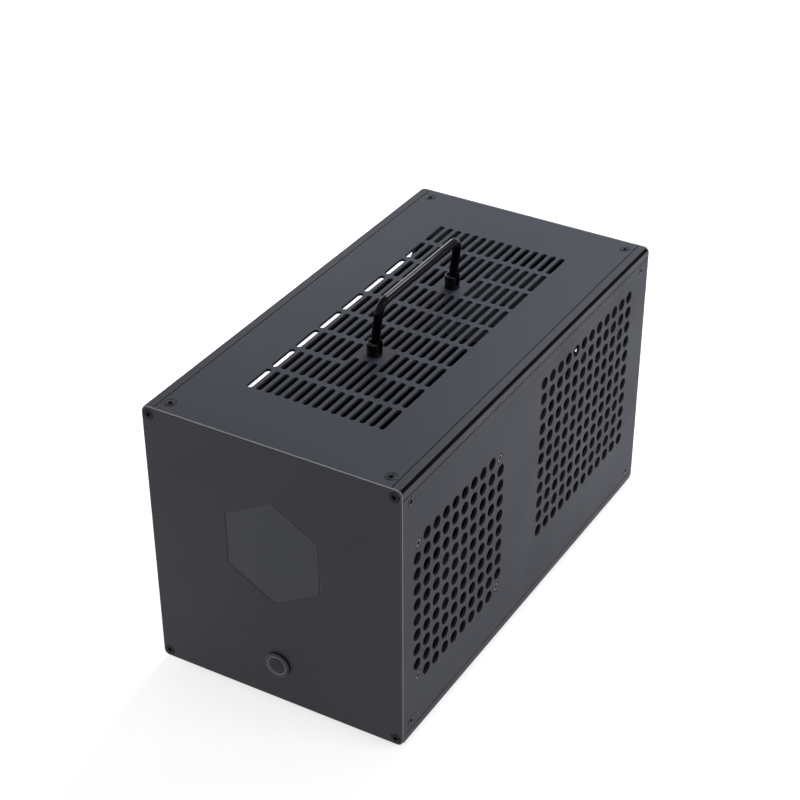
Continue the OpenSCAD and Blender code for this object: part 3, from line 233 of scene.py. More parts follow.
# A normal that rolls over an edge within a radius, a mask of where it does, and a mask of the faces that look
# across an axis.
def buildEdgeGroup():
    group, inside, outside = newGroup("softEdge", {"Radius": "Float", "Face axis": "Vector"},
                                      {"Normal": "Vector", "Edge": "Float", "Side": "Float"})
    roll = addNode(group, "ShaderNodeBevel", samples=effectLook["rollSamples"])
    feed(group, roll.inputs["Radius"], inside["Radius"])
    rolled = roll.outputs["Normal"]
    flat = addNode(group, "ShaderNodeNewGeometry").outputs["Normal"]
    feed(group, outside["Normal"], rolled)
    alike = vectorOf(group, "DOT_PRODUCT", rolled, flat)
    feed(group, outside["Edge"], rangeOf(group, alike, effectLook["edgeDots"]))
    along = mathOf(group, "ABSOLUTE", vectorOf(group, "DOT_PRODUCT", flat, inside["Face axis"]))
    feed(group, outside["Side"], rangeOf(group, along, effectLook["sideDots"]))
    return group


# A mask of a long rail's seams and notch, where shade is painted: 1 where a point lies nearer the middle than
# a seam across X or across Z, or below both outer faces; 0 on the outer faces beyond the seams.
def buildSeamGroup():
    takes = dict.fromkeys(("Place", "Middle", "Seam", "Outer"), "Vector")
    group, inside, outside = newGroup("seamLine", takes, {"Mask": "Float"})
    reach = vectorOf(group, "ABSOLUTE", vectorOf(group, "SUBTRACT", inside["Place"], inside["Middle"]))

    def within(limitName):
        split = addNode(group, "ShaderNodeSeparateXYZ")
        feed(group, split.inputs[0], vectorOf(group, "SUBTRACT", inside[limitName], reach))
        return [mathOf(group, "GREATER_THAN", split.outputs[axis], 0.0) for axis in ("X", "Z")]

    seams = mathOf(group, "MAXIMUM", *within("Seam"))
    notch = mathOf(group, "MULTIPLY", *within("Outer"))
    feed(group, outside["Mask"], mathOf(group, "MAXIMUM", seams, notch))
    return group


grainGroup = buildGrainGroup()
edgeGroup = buildEdgeGroup()
seamGroup = buildSeamGroup()

# Seams and notch of the four rails, from the frame: the panels' edges and the rails' own outer faces; there
# the rails are painted near black as painted shade.
paintedSeamShade = dict(lineWidth=0.0007, skin=0.00012, colour=(0.002, 0.002, 0.002), roughness=1.0)
railLow, railHigh = np.array(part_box("rail_bottom_left")[0]), np.array(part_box("rail_top_right")[1])
railMiddle = (railLow + railHigh) / 2
seamPlace = np.array([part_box("top_panel")[1][0], 0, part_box("right_panel")[1][2]]) - railMiddle
railSeams = [tuple(float(v) for v in row) for row in (
    railMiddle, seamPlace + paintedSeamShade["lineWidth"], railHigh - railMiddle - paintedSeamShade["skin"])]

# What a finish has unless it says otherwise; its edge colour paints a highlight onto rolled edges (painted
# shade where it is darker than the finish), and its side tone paints a highlight onto a plate's sides.
usualLook = dict(paintedEdgeColour=None, cloudSize=0.05, cloudTone=0.06, bump=0.2, edgeRadius=0.0004, paintedEdgeShare=0.3,
                 paintedSideLight=None, stretch=None, seams=None, metallic=0.0, specular=0.3)


# Principled surface with coat grain, rolled edges, and painted light on those edges and on a plate's sides: a
# lighter edge colour is a painted highlight, a darker one painted shade.
def coatedMaterial(name, ownLook):
    look = {**usualLook, **ownLook}
    material = bpy.data.materials.new(name)
    material.use_nodes = True
    tree = material.node_tree
    shader = tree.nodes["Principled BSDF"]
    place = addNode(tree, "ShaderNodeTexCoord").outputs["Object"]
    grain = addNode(tree, "ShaderNodeGroup", node_tree=grainGroup)
    feedNamed(tree, grain, {
        "Place": vectorOf(tree, "MULTIPLY", place, look["stretch"]) if look["stretch"] else place,
        "Base": (*look["colour"], 1), "Grain size": look["grainSize"], "Grain tone": look["grainTone"],
        "Cloud size": look["cloudSize"], "Cloud tone": look["cloudTone"],
        "Gloss low": look["roughness"][0], "Gloss high": look["roughness"][1],
    })
    edge = addNode(tree, "ShaderNodeGroup", node_tree=edgeGroup)
    feedNamed(tree, edge, {"Radius": look["edgeRadius"], "Face axis": effectLook["plateAxis"]})
    # Painted light along rolled edges: a highlight where the edge colour is lighter than the finish, shade
    # where it is darker; a plate's sides get a painted highlight too.
    paintedLightMask = mathOf(tree, "MULTIPLY", edge.outputs["Edge"], look["paintedEdgeShare"])
    if look["paintedSideLight"]:
        paintedLightMask = mathOf(tree, "MAXIMUM", paintedLightMask, mathOf(tree, "MULTIPLY", edge.outputs["Side"], look["paintedSideLight"]))
    paintedEdgeColour = look["paintedEdgeColour"] or look["colour"]
    colour = mixTo(tree, "RGBA", paintedLightMask, grain.outputs["Colour"], (*paintedEdgeColour, 1))
    roughness = grain.outputs["Roughness"]
    if look["seams"]:
        seam = addNode(tree, "ShaderNodeGroup", node_tree=seamGroup)
        feedNamed(tree, seam, dict(zip(("Place", "Middle", "Seam", "Outer"), (place, *look["seams"]))))
        # Painted shade: near black and fully rough in the seams and the notch.
        colour = mixTo(tree, "RGBA", seam.outputs["Mask"], colour, (*paintedSeamShade["colour"], 1))
        roughness = mixTo(tree, "FLOAT", seam.outputs["Mask"], roughness, paintedSeamShade["roughness"])
    bump = addNode(tree, "ShaderNodeBump")
    feedNamed(tree, bump, {"Strength": look["bump"], "Distance": look["grainSize"] * effectLook["bumpShare"],
                           "Height": grain.outputs["Height"], "Normal": edge.outputs["Normal"]})
    feedNamed(tree, shader, {"Base Color": colour, "Roughness": roughness, "Normal": bump.outputs["Normal"],
                             "Metallic": look["metallic"], "Specular IOR Level": look["specular"]})
    return material


# Each edge colour here is a painted highlight on the rolled edges, except hexField's and fanScrew's, which
# are painted shade.
finishes = {
    # The plate's edge colour and side tone are painted highlight on its edges and on its top and side faces.
    "plate": dict(colour=(0.029, 0.0305, 0.041), paintedEdgeColour=(0.3, 0.3, 0.31), grainSize=0.00045,
                  grainTone=0.28, roughness=(0.42, 0.5), bump=0.25, edgeRadius=0.0007, paintedSideLight=0.55),
    "panel": dict(colour=(0.055, 0.0575, 0.073), paintedEdgeColour=(0.15, 0.15, 0.16), grainSize=0.0004,
                  grainTone=0.22, roughness=(0.4, 0.48), edgeRadius=0.0003, paintedEdgeShare=0.4, specular=0.075),
    "rail": dict(colour=(0.040, 0.0412, 0.052), paintedEdgeColour=(0.1, 0.1, 0.105), grainSize=0.0003, grainTone=0.2,
                 roughness=(0.35, 0.45), bump=0.1, edgeRadius=0.0002, paintedEdgeShare=0.2, specular=0.11,
                 seams=railSeams),
    # Its darker edge colour is painted shade in the groove round the inlay.
    "hexField": dict(colour=(0.059, 0.062, 0.080), paintedEdgeColour=(0.018, 0.018, 0.02), grainSize=0.0006,
                     grainTone=0.3, roughness=(0.36, 0.44), bump=0.3, edgeRadius=0.0002, paintedEdgeShare=0.6),
    "screwBlack": dict(colour=(0.022, 0.023, 0.029), paintedEdgeColour=(0.2, 0.2, 0.21), grainSize=0.0002,
                       grainTone=0.2, roughness=(0.2, 0.28), bump=0.1, edgeRadius=0.00025, paintedEdgeShare=0.4,
                       specular=0.12),
    "screwBright": dict(colour=(0.5, 0.5, 0.5), paintedEdgeColour=(0.7, 0.7, 0.7), grainSize=0.0002, grainTone=0.15,
                        roughness=(0.25, 0.35), metallic=1.0, bump=0.1, edgeRadius=0.0002),
    # Its dark edge colour is painted shade round the head, in the hole it sits in.
    "fanScrew": dict(colour=(0.1, 0.1, 0.11), paintedEdgeColour=(0.02, 0.02, 0.02), grainSize=0.0002, grainTone=0.2,
                     roughness=(0.25, 0.35), metallic=0.5, bump=0.1, edgeRadius=0.0003, paintedEdgeShare=0.7,
                     specular=0.1),
    "rubber": dict(colour=(0.015, 0.015, 0.015), grainSize=0.0004, grainTone=0.3, roughness=(0.7, 0.8),
                   bump=0.4, edgeRadius=0.0005),
    "handle": dict(colour=(0.004, 0.004, 0.005), grainSize=0.0006, grainTone=0.2, roughness=(0.07, 0.11),
                   bump=0.02, specular=0.06),
    "post": dict(colour=(0.006, 0.006, 0.007), paintedEdgeColour=(0.22, 0.22, 0.23), grainSize=0.0005, grainTone=0.3,
                 roughness=(0.2, 0.28), bump=0.1, paintedEdgeShare=0.35, specular=0.15),
    "button": dict(colour=(0.035, 0.037, 0.045), paintedEdgeColour=(0.2, 0.2, 0.22), grainSize=0.0002,
                   grainTone=0.15, roughness=(0.14, 0.2), metallic=0.5, bump=0.1, edgeRadius=0.0003,
                   paintedEdgeShare=0.4),
    "buttonCap": dict(colour=(0.03, 0.0325, 0.043), paintedEdgeColour=(0.1, 0.1, 0.11), grainSize=0.0002,
                      grainTone=0.15, roughness=(0.2, 0.28), bump=0.1, edgeRadius=0.0002, paintedEdgeShare=0.4,
                      specular=0.2),
    "lightRing": dict(colour=(0.37, 0.38, 0.43), grainSize=0.0003, grainTone=0.05, roughness=(0.2, 0.25),
                      bump=0.02),
    "blackPlastic": dict(colour=(0.004, 0.004, 0.005), grainSize=0.0005, grainTone=0.3,
                         roughness=(0.42, 0.52), specular=0.06),
    "frameBlack": dict(colour=(0.006, 0.006, 0.007), grainSize=0.0005, grainTone=0.3, roughness=(0.4, 0.5),
                       specular=0.12),
    "sleeve": dict(colour=(0.008, 0.008, 0.009), grainSize=0.0006, grainTone=0.4, roughness=(0.45, 0.55),
                   bump=0.4, specular=0.15),
    "steel": dict(colour=(0.35, 0.35, 0.36), paintedEdgeColour=(0.6, 0.6, 0.6), grainSize=0.0004, grainTone=0.1,
                  roughness=(0.3, 0.4), metallic=1.0, bump=0.12, stretch=(1.0, 1.0, 0.03)),
    "supplySteel": dict(colour=(0.005, 0.005, 0.006), grainSize=0.0006, grainTone=0.3, roughness=(0.5, 0.6),
                        bump=0.4, specular=0.06),
    "board": dict(colour=(0.008, 0.03, 0.014), grainSize=0.0008, grainTone=0.3, roughness=(0.3, 0.4),
                  bump=0.1),
    "heatsink": dict(colour=(0.4, 0.4, 0.41), grainSize=0.0005, grainTone=0.1, roughness=(0.35, 0.45),
                     metallic=1.0, bump=0.1),
    "brass": dict(colour=(0.6, 0.46, 0.2), grainSize=0.0003, grainTone=0.1, roughness=(0.25, 0.35),
                  metallic=1.0, bump=0.1),
    "whitePlastic": dict(colour=(0.6, 0.59, 0.55), grainSize=0.0004, grainTone=0.05, roughness=(0.45, 0.5),
                         bump=0.1),
}
materialOf = {name: coatedMaterial(name, look) for name, look in finishes.items()}
finishOfSlot = {
    "plate": "plate", "panel": "panel", "rail": "rail", "screw_black": "screwBlack",
    "screw_bright": "screwBright", "rubber": "rubber", "handle": "handle", "button": "button",
    "light_ring": "lightRing", "black_plastic": "blackPlastic", "steel": "steel",
    "supply_steel": "supplySteel", "board": "board", "heatsink": "heatsink", "brass": "brass",
    "white_plastic": "whitePlastic",
}
# Nodes whose finish isn't their slot's.
finishOfNode = {"handle_post_front": "post", "handle_post_rear": "post", "handle_pins": "post",
                "card_frame": "frameBlack", "psu_fan_guard": "frameBlack"}
slotOfNode = {part["node"]: part["material_slot"] for part in frame["record"]["subparts"]}
for nodeName, cadObject in nodes.items():
    finish = finishOfNode.get(nodeName, finishOfSlot[slotOfNode[nodeName]])
    cadObject.data.materials.clear()
    cadObject.data.materials.append(materialOf[finish])
print("materials on", len(nodes), "nodes")


# screws
screwLook = dict(keyFlats=0.0028, keyDeep=0.0014, keySoftShare=0.6, rimRound=0.0004, rimSteps=6, tipShare=0.7,
                 steps=48)
screwSizes = {
    "plate": dict(headRadius=0.004, seatGap=0.00035, shankRadius=0.002, length=0.012),
    "panel": dict(headRadius=0.004, seatGap=0.00035, shankRadius=0.002, length=0.005),
    "fan": dict(headRadius=0.0037, seatGap=0.0007, shankRadius=0.002, length=0.011),
    "supply": dict(headRadius=0.0028, seatGap=0.00035, shankRadius=0.0015, length=0.006),
}
screwGroups = {
    "frontScrews": dict(node="front_plate_screws", axis=1, sign=-1, kind="plate"),
    "backScrews": dict(node="back_plate_screws", axis=1, sign=1, kind="plate"),
    "topScrews": dict(node="top_panel_screws", axis=2, sign=1, kind="panel"),
    "bottomScrews": dict(node="bottom_panel_screws", axis=2, sign=-1, kind="panel"),
    "leftScrews": dict(node="left_panel_screws", axis=0, sign=-1, kind="panel"),
    "rightScrews": dict(node="right_panel_screws", axis=0, sign=1, kind="panel"),
    "fanScrews": dict(node="fan_screws", axis=0, sign=1, kind="fan"),
    "supplyScrews": dict(node="psu_screws", axis=1, sign=1, kind="supply"),
}


# A flat head as a turned profile: the key's hexagonal floor and wall, the land, a quarter-round rim, a cone
# that narrows as much as it sinks, the shank and its tip.
def flatScrew(headRadius, shankRadius, length):
    rim, tip = screwLook["rimRound"], shankRadius * screwLook["tipShare"]
    key = screwLook["keyFlats"] / 2 / math.cos(math.pi / 6)
    soft = rim * screwLook["keySoftShare"]
    keyRows = [(key, -screwLook["keyDeep"]), (key, -soft), (key + soft, 0.0)]
    rows = np.vstack([
        keyRows, quarterRound(headRadius, 0.0, rim, screwLook["rimSteps"]),
        [(shankRadius, -rim - (headRadius - shankRadius)), (shankRadius, -length + shankRadius - tip),
         (tip, -length)],
    ])
    return meshFromGrid(turned(rows, screwLook["steps"], range(len(keyRows))), aroundV=True, capStart=True,
                        capEnd=True)


# Axes whose third points out of a face, for a face across the axis given (0, 1 or 2) on its low or high side.
def outwardAxes(axis, sign):
    out = np.zeros(3)
    out[axis] = sign
    side = np.roll([1.0, 0, 0], (axis + 1) % 3)
    return side, np.cross(out, side), out


# The four corner screws of a node, each with its head's face on the node's outer side.
def cornerScrews(node, axis, sign, kind):
    size = screwSizes[kind]
    head = size["headRadius"]
    low, high = boxOf(node)
    side, up, out = outwardAxes(axis, sign)
    first, second = [other for other in range(3) if other != axis]
    verts, faces = flatScrew(head - size["seatGap"], size["shankRadius"], size["length"])
    parts = []
    for firstPlace in (low[first] + head, high[first] - head):
        for secondPlace in (low[second] + head, high[second] - head):
            origin = np.zeros(3)
            origin[axis] = high[axis] if sign > 0 else low[axis]
            origin[first], origin[second] = firstPlace, secondPlace
            parts.append((placed(verts, side, up, out, origin), faces))
    return parts


for pieceName, group in screwGroups.items():
    bright = group["kind"] == "fan"
    finish, slotName = ("fanScrew", "screw_bright") if bright else ("screwBlack", "screw_black")
    piece = makePiece(pieceName, cornerScrews(**group), materialOf[finish], "enclosure")
    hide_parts(group["node"])
print("screws done")


# tubes
tubeLook = dict(step=0.0008, arcSteps=24, endRows=8, sides=24)


# An L-shaped route with a round corner: straight runs at an even step, and a quarter circle between them.
def cornerRoute(start, corner, end, bend, step=tubeLook["step"]):
    start, corner, end = (np.array(point, float) for point in (start, corner, end))
    before, after = corner - start, end - corner
    into, away = before / np.linalg.norm(before), after / np.linalg.norm(after)
    turn = np.linspace(0, np.pi / 2, tubeLook["arcSteps"])[:, None]
    centre = corner - into * bend + away * bend
    arc = centre - away * bend * np.cos(turn) + into * bend * np.sin(turn)
    first = start + into * np.arange(0, np.linalg.norm(before) - bend, step)[:, None]
    second = arc[-1] + away * np.arange(step, np.linalg.norm(after) - bend, step)[:, None]
    return np.vstack([first, arc, second, end])


# A tube round a route in one plane: centre + size * (cos(angle) * planeNormal + sin(angle) * (planeNormal x
# tangent)). Strands dent it: size = radius * (1 - depth * (1 - |cos(strands / 2 * (angle + lay's turn))|)).
# Round ends carry it on by a half ball.
def tube(route, planeNormal, radius, sides=tubeLook["sides"], strands=0, lay=1.0, depth=0.0, roundEnds=False):
    planeNormal = np.asarray(planeNormal, float)
    swell = np.ones(len(route))
    if roundEnds:
        tip = np.linspace(np.pi / 2, 0, tubeLook["endRows"])[:-1]
        first, last = route[1] - route[0], route[-1] - route[-2]
        first, last = first / np.linalg.norm(first), last / np.linalg.norm(last)
        head = route[0] - first * (radius * np.sin(tip))[:, None]
        tail = route[-1] + last * (radius * np.sin(tip[::-1]))[:, None]
        swell = np.concatenate([np.cos(tip), swell, np.cos(tip[::-1])])
        route = np.vstack([head, route, tail])
    tangent = np.gradient(route, axis=0)
    tangent /= np.linalg.norm(tangent, axis=1)[:, None]
    other = np.cross(planeNormal, tangent)
    run = np.concatenate([[0], np.cumsum(np.linalg.norm(np.diff(route, axis=0), axis=1))])[:, None]
    angle = np.linspace(0, 2 * np.pi, sides, endpoint=False)[None, :]
    size = radius * swell[:, None] * np.ones((1, sides))
    if strands:
        size = size * (1 - depth * (1 - np.abs(np.cos(strands / 2 * (angle + 2 * np.pi * run / lay)))))
    round3d = np.cos(angle)[..., None] * planeNormal + np.sin(angle)[..., None] * other[:, None]
    return meshFromGrid(route[:, None] + size[..., None] * round3d, aroundV=True, capStart=True, capEnd=True)


# handle
handleLook = dict(lean=7.0, barRadius=0.003, bend=0.008, pivotHeight=0.0047, gripHeight=0.038, sides=40,
                  step=0.002)


# The bar's middle line: up a leg, round a quarter circle, along the grip and down again, leaned about the
# pivots: x = height * sin(lean), z = pivot + height * cos(lean).
def handleRoute(lean):
    frontLow, frontHigh = boxOf("handle_post_front")
    rearLow, rearHigh = boxOf("handle_post_rear")
    yFront, yRear = (frontLow[1] + frontHigh[1]) / 2, (rearLow[1] + rearHigh[1]) / 2
    rise = handleLook["gripHeight"] - handleLook["pivotHeight"]
    middle = (yFront + yRear) / 2
    half = cornerRoute((0, yFront, 0), (0, yFront, rise), (0, middle, rise), handleLook["bend"],
                       handleLook["step"])
    other = half[::-1][1:] * (1, -1, 1) + (0, 2 * middle, 0)
    flat = np.vstack([half, other])
    pivot = frontLow[2] + handleLook["pivotHeight"]
    return np.stack([flat[:, 2] * math.sin(lean), flat[:, 1], pivot + flat[:, 2] * math.cos(lean)], 1)


handleLean = math.radians(handleLook["lean"])
bar = tube(handleRoute(handleLean), (math.cos(handleLean), 0, -math.sin(handleLean)), handleLook["barRadius"],
           handleLook["sides"], roundEnds=True)
handleBar = makePiece("handleBar", [bar], materialOf["handle"], "handle")
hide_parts("handle_bar")
print("handle done")


# power button
buttonLook = dict(bezelRadius=0.0093, barrelRadius=0.008, ringRadius=0.0072, boreRadius=0.00635, proud=0.002,
                  lip=0.0009, lipStart=0.0003, lipSteps=8, ringChamfer=0.00015, ringDeep=0.0012,
                  boreDeep=0.0058, neck=0.0028, barrelDeep=0.025, barrelChamfer=0.0006, thread=0.001,
                  threadStart=0.003, threadDeep=0.00012, threadSteps=8, ringGap=0.00001, ringSunk=0.0002,
                  ringRise=0.00018, ringSteps=10, steps=96)
capLook = dict(radius=0.0063, sunk=0.0001, middle=0.0004, grooveIn=0.0022, grooveOut=0.0029,
               grooveSlope=0.0002, grooveDeep=0.0002, soft=0.0004, softSteps=5, deep=0.0039)
bodyLow, bodyHigh = boxOf("button_body")
buttonPlace = np.array([(bodyLow[0] + bodyHigh[0]) / 2, bodyLow[1], (bodyLow[2] + bodyHigh[2]) / 2])
buttonAxes = ((1, 0, 0), (0, 0, 1), (0, -1, 0))


# The bore, the ring's seat, a lip that falls off as lip * (1 - cos), the flange, the neck and the threaded
# barrel, whose radius waves as threadDeep * (1 - cos(turns of the thread)).
def bezelRows(look):
    ring, bore, barrel, proud = (look[key] for key in ("ringRadius", "boreRadius", "barrelRadius", "proud"))
    dish = np.linspace(0, 1, look["lipSteps"]) * np.pi / 2
    lipStart = ring + look["lipStart"]
    run = np.arange(look["threadStart"], look["barrelDeep"], look["thread"] / look["threadSteps"])
    wave = look["threadDeep"] * (1 - np.cos(run / look["thread"] * 2 * np.pi))
    return np.vstack([
        [(bore, -look["boreDeep"]), (bore, -look["ringDeep"]), (ring, -look["ringDeep"]),
         (ring, -look["ringChamfer"]), (ring + look["ringChamfer"], 0.0)],
        np.stack([lipStart + (look["bezelRadius"] - lipStart) * np.sin(dish),
                  -look["lip"] * (1 - np.cos(dish))], 1),
        [(look["bezelRadius"], -proud), (barrel, -proud), (barrel, -proud - look["neck"])],
        np.stack([barrel - wave, -proud - run], 1),
        [(barrel - look["barrelChamfer"], -proud - look["barrelDeep"])],
    ])


# A half-round ring in its seat: radius = middle - half * cos, height = rise * sin - sunk.
def ringRows(look):
    inner, outer = look["boreRadius"] + look["ringGap"], look["ringRadius"] - look["ringGap"]
    dome = np.linspace(0, np.pi, look["ringSteps"])
    top = np.stack([(inner + outer) / 2 - (outer - inner) / 2 * np.cos(dome),
                    -look["ringSunk"] + look["ringRise"] * np.sin(dome)], 1)
    return np.vstack([[(inner, -look["ringDeep"])], top, [(outer, -look["ringDeep"])]])


# A flat cap with a shallow round groove and a quarter-round rim.
def capRows(look):
    face, groove = -look["sunk"], -look["sunk"] - look["grooveDeep"]
    return np.vstack([
        [(look["middle"], face), (look["grooveIn"], face), (look["grooveIn"] + look["grooveSlope"], groove),
         (look["grooveOut"] - look["grooveSlope"], groove), (look["grooveOut"], face)],
        quarterRound(look["radius"], face, look["soft"], look["softSteps"]),
        [(look["radius"], -look["deep"])],
    ])


# Turned rows set on the button's axis, which looks out of the front.
def onButton(rows, capped=True):
    verts, faces = meshFromGrid(turned(rows, buttonLook["steps"]), aroundU=not capped, aroundV=True,
                                capStart=capped, capEnd=capped)
    return placed(verts, *buttonAxes, buttonPlace), faces


bezel = makePiece("buttonBezel", [onButton(bezelRows(buttonLook))], materialOf["button"], "enclosure")
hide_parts("button_body")
lightRing = makePiece("buttonLightRing", [onButton(ringRows(buttonLook), False)], materialOf["lightRing"],
                      "enclosure")
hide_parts("button_light_ring")
cap = makePiece("buttonCap", [onButton(capRows(capLook))], materialOf["buttonCap"], "power_button")
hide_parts("button_cap")
print("button done")


# hexagon field
hexLook = dict(flats=0.0692, sunk=0.0003, thick=0.00018, groove=0.0008, centreLift=0.120, innerShare=0.03,
               roundShare=0.4, rows=14, steps=180)


# A plate on a hexagon grid: share * flats / 2 / cos(angle in its sixth - 30), with rows down its rim.
def hexPlate(flats, thick):
    steps = hexLook["steps"]
    angle = np.linspace(0, 2 * np.pi, steps, endpoint=False)
    edge = flats / 2 / math.cos(math.pi / 6) * hexShare(angle)
    share = np.linspace(hexLook["innerShare"], 1, hexLook["rows"])[:, None]
    rounding = thick * hexLook["roundShare"]
    inner = share * (edge - rounding)
    top = np.stack([inner * np.cos(angle), inner * np.sin(angle), np.full(inner.shape, thick)], -1)
    rim = np.stack([edge * np.cos(angle), edge * np.sin(angle), np.zeros(steps)], -1)
    points = np.concatenate([top, [rim + (0, 0, thick - rounding)], [rim]])
    return meshFromGrid(points, aroundV=True, capStart=True, capEnd=True)


plateLow, plateHigh = boxOf("front_plate")
verts, faces = hexPlate(hexLook["flats"] - 2 * hexLook["groove"], hexLook["thick"])
hexPlace = (0, plateLow[1] + hexLook["sunk"], plateLow[2] + hexLook["centreLift"])
makePiece("hexField", [(placed(verts, (0, 0, 1), (-1, 0, 0), (0, -1, 0), hexPlace), faces)],
          materialOf["hexField"], "enclosure")
print("hexagon done")


# fans
fanLook = dict(hubRadius=0.020, hubRound=0.0012, roundSteps=6, dishMiddle=0.001, dishDeep=0.0004,
               dishShare=0.78, dishRimShare=0.8, hubSteps=72, blades=9, bladeStart=0.001, rootShare=0.94,
               span=1.02, twist=0.5, lead=0.28, leadPower=1.5, bow=0.0025, thickness=0.0016, thinShare=0.35,
               gridRadial=16, gridAround=28)
rotors = {
    "sideFanRotor": dict(node="fan_rotor", body="side_fan", tipRadius=0.056, shaftRadius=0.0015,
                         hubDepth=0.0177),
    "supplyFanRotor": dict(node="psu_fan_rotor", body="supply_fan", tipRadius=0.054, shaftRadius=0.0015,
                           hubDepth=0.0147),
}


# A blade: at radius r its middle line climbs from one end of the hub to the other while it turns by a span
# that shrinks with r; half a sine bows it, and an ellipse of thickness, thinner at its ends, closes it.
def rotorBlade(tipRadius, start, end, turn):
    root = fanLook["hubRadius"] * fanLook["rootShare"]
    radial = np.linspace(0, 1, fanLook["gridRadial"])[:, None]
    radius = root + (tipRadius - root) * radial
    around = np.linspace(0, 2 * np.pi, fanLook["gridAround"], endpoint=False)[None, :]
    along = (1 - np.cos(around)) / 2
    thin = fanLook["thinShare"]
    half = fanLook["thickness"] / 2 * np.sin(around) * (thin + (1 - thin) * np.sin(np.pi * along) ** 0.5)
    span = fanLook["span"] * (1 - fanLook["twist"] * radial)
    bow = fanLook["bow"] * np.sin(np.pi * along)
    lead = fanLook["lead"] * radial ** fanLook["leadPower"]
    angle = turn + (along - 0.5) * span - lead + (bow + half) / radius
    height = np.broadcast_to(start + (end - start) * along, angle.shape)
    return meshFromGrid(np.stack([radius * np.cos(angle), radius * np.sin(angle), height], -1), aroundV=True,
                        capStart=True, capEnd=True)


# A rotor: a turned hub with a rounded rim and a shallow dish, a shaft, and the blades evenly round it.
def rotorParts(node, tipRadius, shaftRadius, hubDepth):
    low, high = boxOf(node)
    place = (high[0], (low[1] + high[1]) / 2, (low[2] + high[2]) / 2)
    hub, start = fanLook["hubRadius"], fanLook["bladeStart"]
    rows = np.vstack([
        [(fanLook["dishMiddle"], -fanLook["dishDeep"]), (hub * fanLook["dishShare"], -fanLook["dishDeep"]),
         (hub * fanLook["dishRimShare"], 0.0)],
        quarterRound(hub, 0.0, fanLook["hubRound"], fanLook["roundSteps"]),
        [(hub, -hubDepth), (shaftRadius, -hubDepth), (shaftRadius, low[0] - high[0])],
    ])
    parts = [meshFromGrid(turned(rows, fanLook["hubSteps"]), aroundV=True, capStart=True, capEnd=True)]
    for turn in np.arange(fanLook["blades"]) * 2 * np.pi / fanLook["blades"]:
        parts.append(rotorBlade(tipRadius, start - hubDepth, -start, turn))
    return [(placed(verts, (0, 1, 0), (0, 0, 1), (1, 0, 0), place), faces) for verts, faces in parts]


for pieceName, rotor in rotors.items():
    parts = rotorParts(rotor["node"], rotor["tipRadius"], rotor["shaftRadius"], rotor["hubDepth"])
    piece = makePiece(pieceName, parts, materialOf["blackPlastic"], rotor["body"])
    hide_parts(rotor["node"])
print("fans done")


# feet
footLook = dict(radius=0.007, height=0.004, taperShare=0.9, hole=0.0016, pocket=0.0035, pocketDeep=0.0022,
                pocketChamfer=0.0003, soft=0.0006, softSteps=5, steps=48)


# A foot with a pocket for its screw: the hole, the pocket, a quarter-round sole and a tapered side.
def footRows(look):
    sole = look["radius"] * look["taperShare"]
    return np.vstack([
        [(look["hole"], -look["pocketDeep"]), (look["pocket"], -look["pocketDeep"]),
         (look["pocket"], -look["pocketChamfer"]), (look["pocket"] + look["pocketChamfer"], 0.0)],
        quarterRound(sole, 0.0, look["soft"], look["softSteps"]),
        [(look["radius"], -look["height"]), (look["hole"], -look["height"])],
    ])


feetLow, feetHigh = boxOf("rubber_feet")
footVerts, footFaces = meshFromGrid(turned(footRows(footLook), footLook["steps"]), aroundU=True, aroundV=True)
feet = []
for footX in (feetLow[0] + footLook["radius"], feetHigh[0] - footLook["radius"]):
    for footY in (feetLow[1] + footLook["radius"], feetHigh[1] - footLook["radius"]):
        place = (footX, footY, feetLow[2])
        feet.append((placed(footVerts, (1, 0, 0), (0, -1, 0), (0, 0, -1), place), footFaces))
rubberFeet = makePiece("rubberFeet", feet, materialOf["rubber"], "enclosure")
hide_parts("rubber_feet")
print("feet done")


# leads
leadLook = {
    "powerLead": dict(node="power_lead", radius=0.0045, bend=0.012, strands=6, lay=0.05, depth=0.16),
    "buttonLead": dict(node="button_lead", radius=0.0018, bend=0.009, strands=4, lay=0.02, depth=0.22),
    "fanLead": dict(node="fan_lead", radius=0.0018, bend=0.009, strands=3, lay=0.018, depth=0.25),
}
leadShape = dict(sides=32, smoothAngle=60.0)
for pieceName, lead in leadLook.items():
    low, high = boxOf(lead["node"])
    radius, middle = lead["radius"], (low[0] + high[0]) / 2
    if pieceName == "powerLead":  # from the supply forward, then down to the board
        ends = (high[1], high[2] - radius), (low[1] + radius, high[2] - radius), (low[1] + radius, low[2])
    elif pieceName == "buttonLead":  # from the button back, then down to the board
        ends = (low[1], high[2] - radius), (high[1] - radius, high[2] - radius), (high[1] - radius, low[2])
    else:  # from the fan down, then back to the board
        ends = (low[1] + radius, high[2]), (low[1] + radius, low[2] + radius), (high[1], low[2] + radius)
    route = cornerRoute(*((middle, *point) for point in ends), lead["bend"])
    body = tube(route, (1, 0, 0), radius, leadShape["sides"], lead["strands"], lead["lay"], lead["depth"])
    piece = makePiece(pieceName, [body], materialOf["sleeve"], "enclosure",
                      leadShape["smoothAngle"])
    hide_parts(lead["node"])
print("leads done")


# camera
cameraLook = dict(place=(0.555254, -0.960383, 0.851162), turn=(0.9489068, -0.0138799, 0.5063314),
                  lens=86.4084, shift=(-0.070135, 0.127156), sensor=36.0)
cameraData = bpy.data.cameras.new("camera")
cameraData.sensor_width = cameraLook["sensor"]
cameraData.lens = cameraLook["lens"]
cameraData.shift_x, cameraData.shift_y = cameraLook["shift"]
cameraObject = bpy.data.objects.new("camera", cameraData)
cameraObject.location = cameraLook["place"]
cameraObject.rotation_euler = cameraLook["turn"]
bpy.context.scene.collection.objects.link(cameraObject)
bpy.context.scene.camera = cameraObject


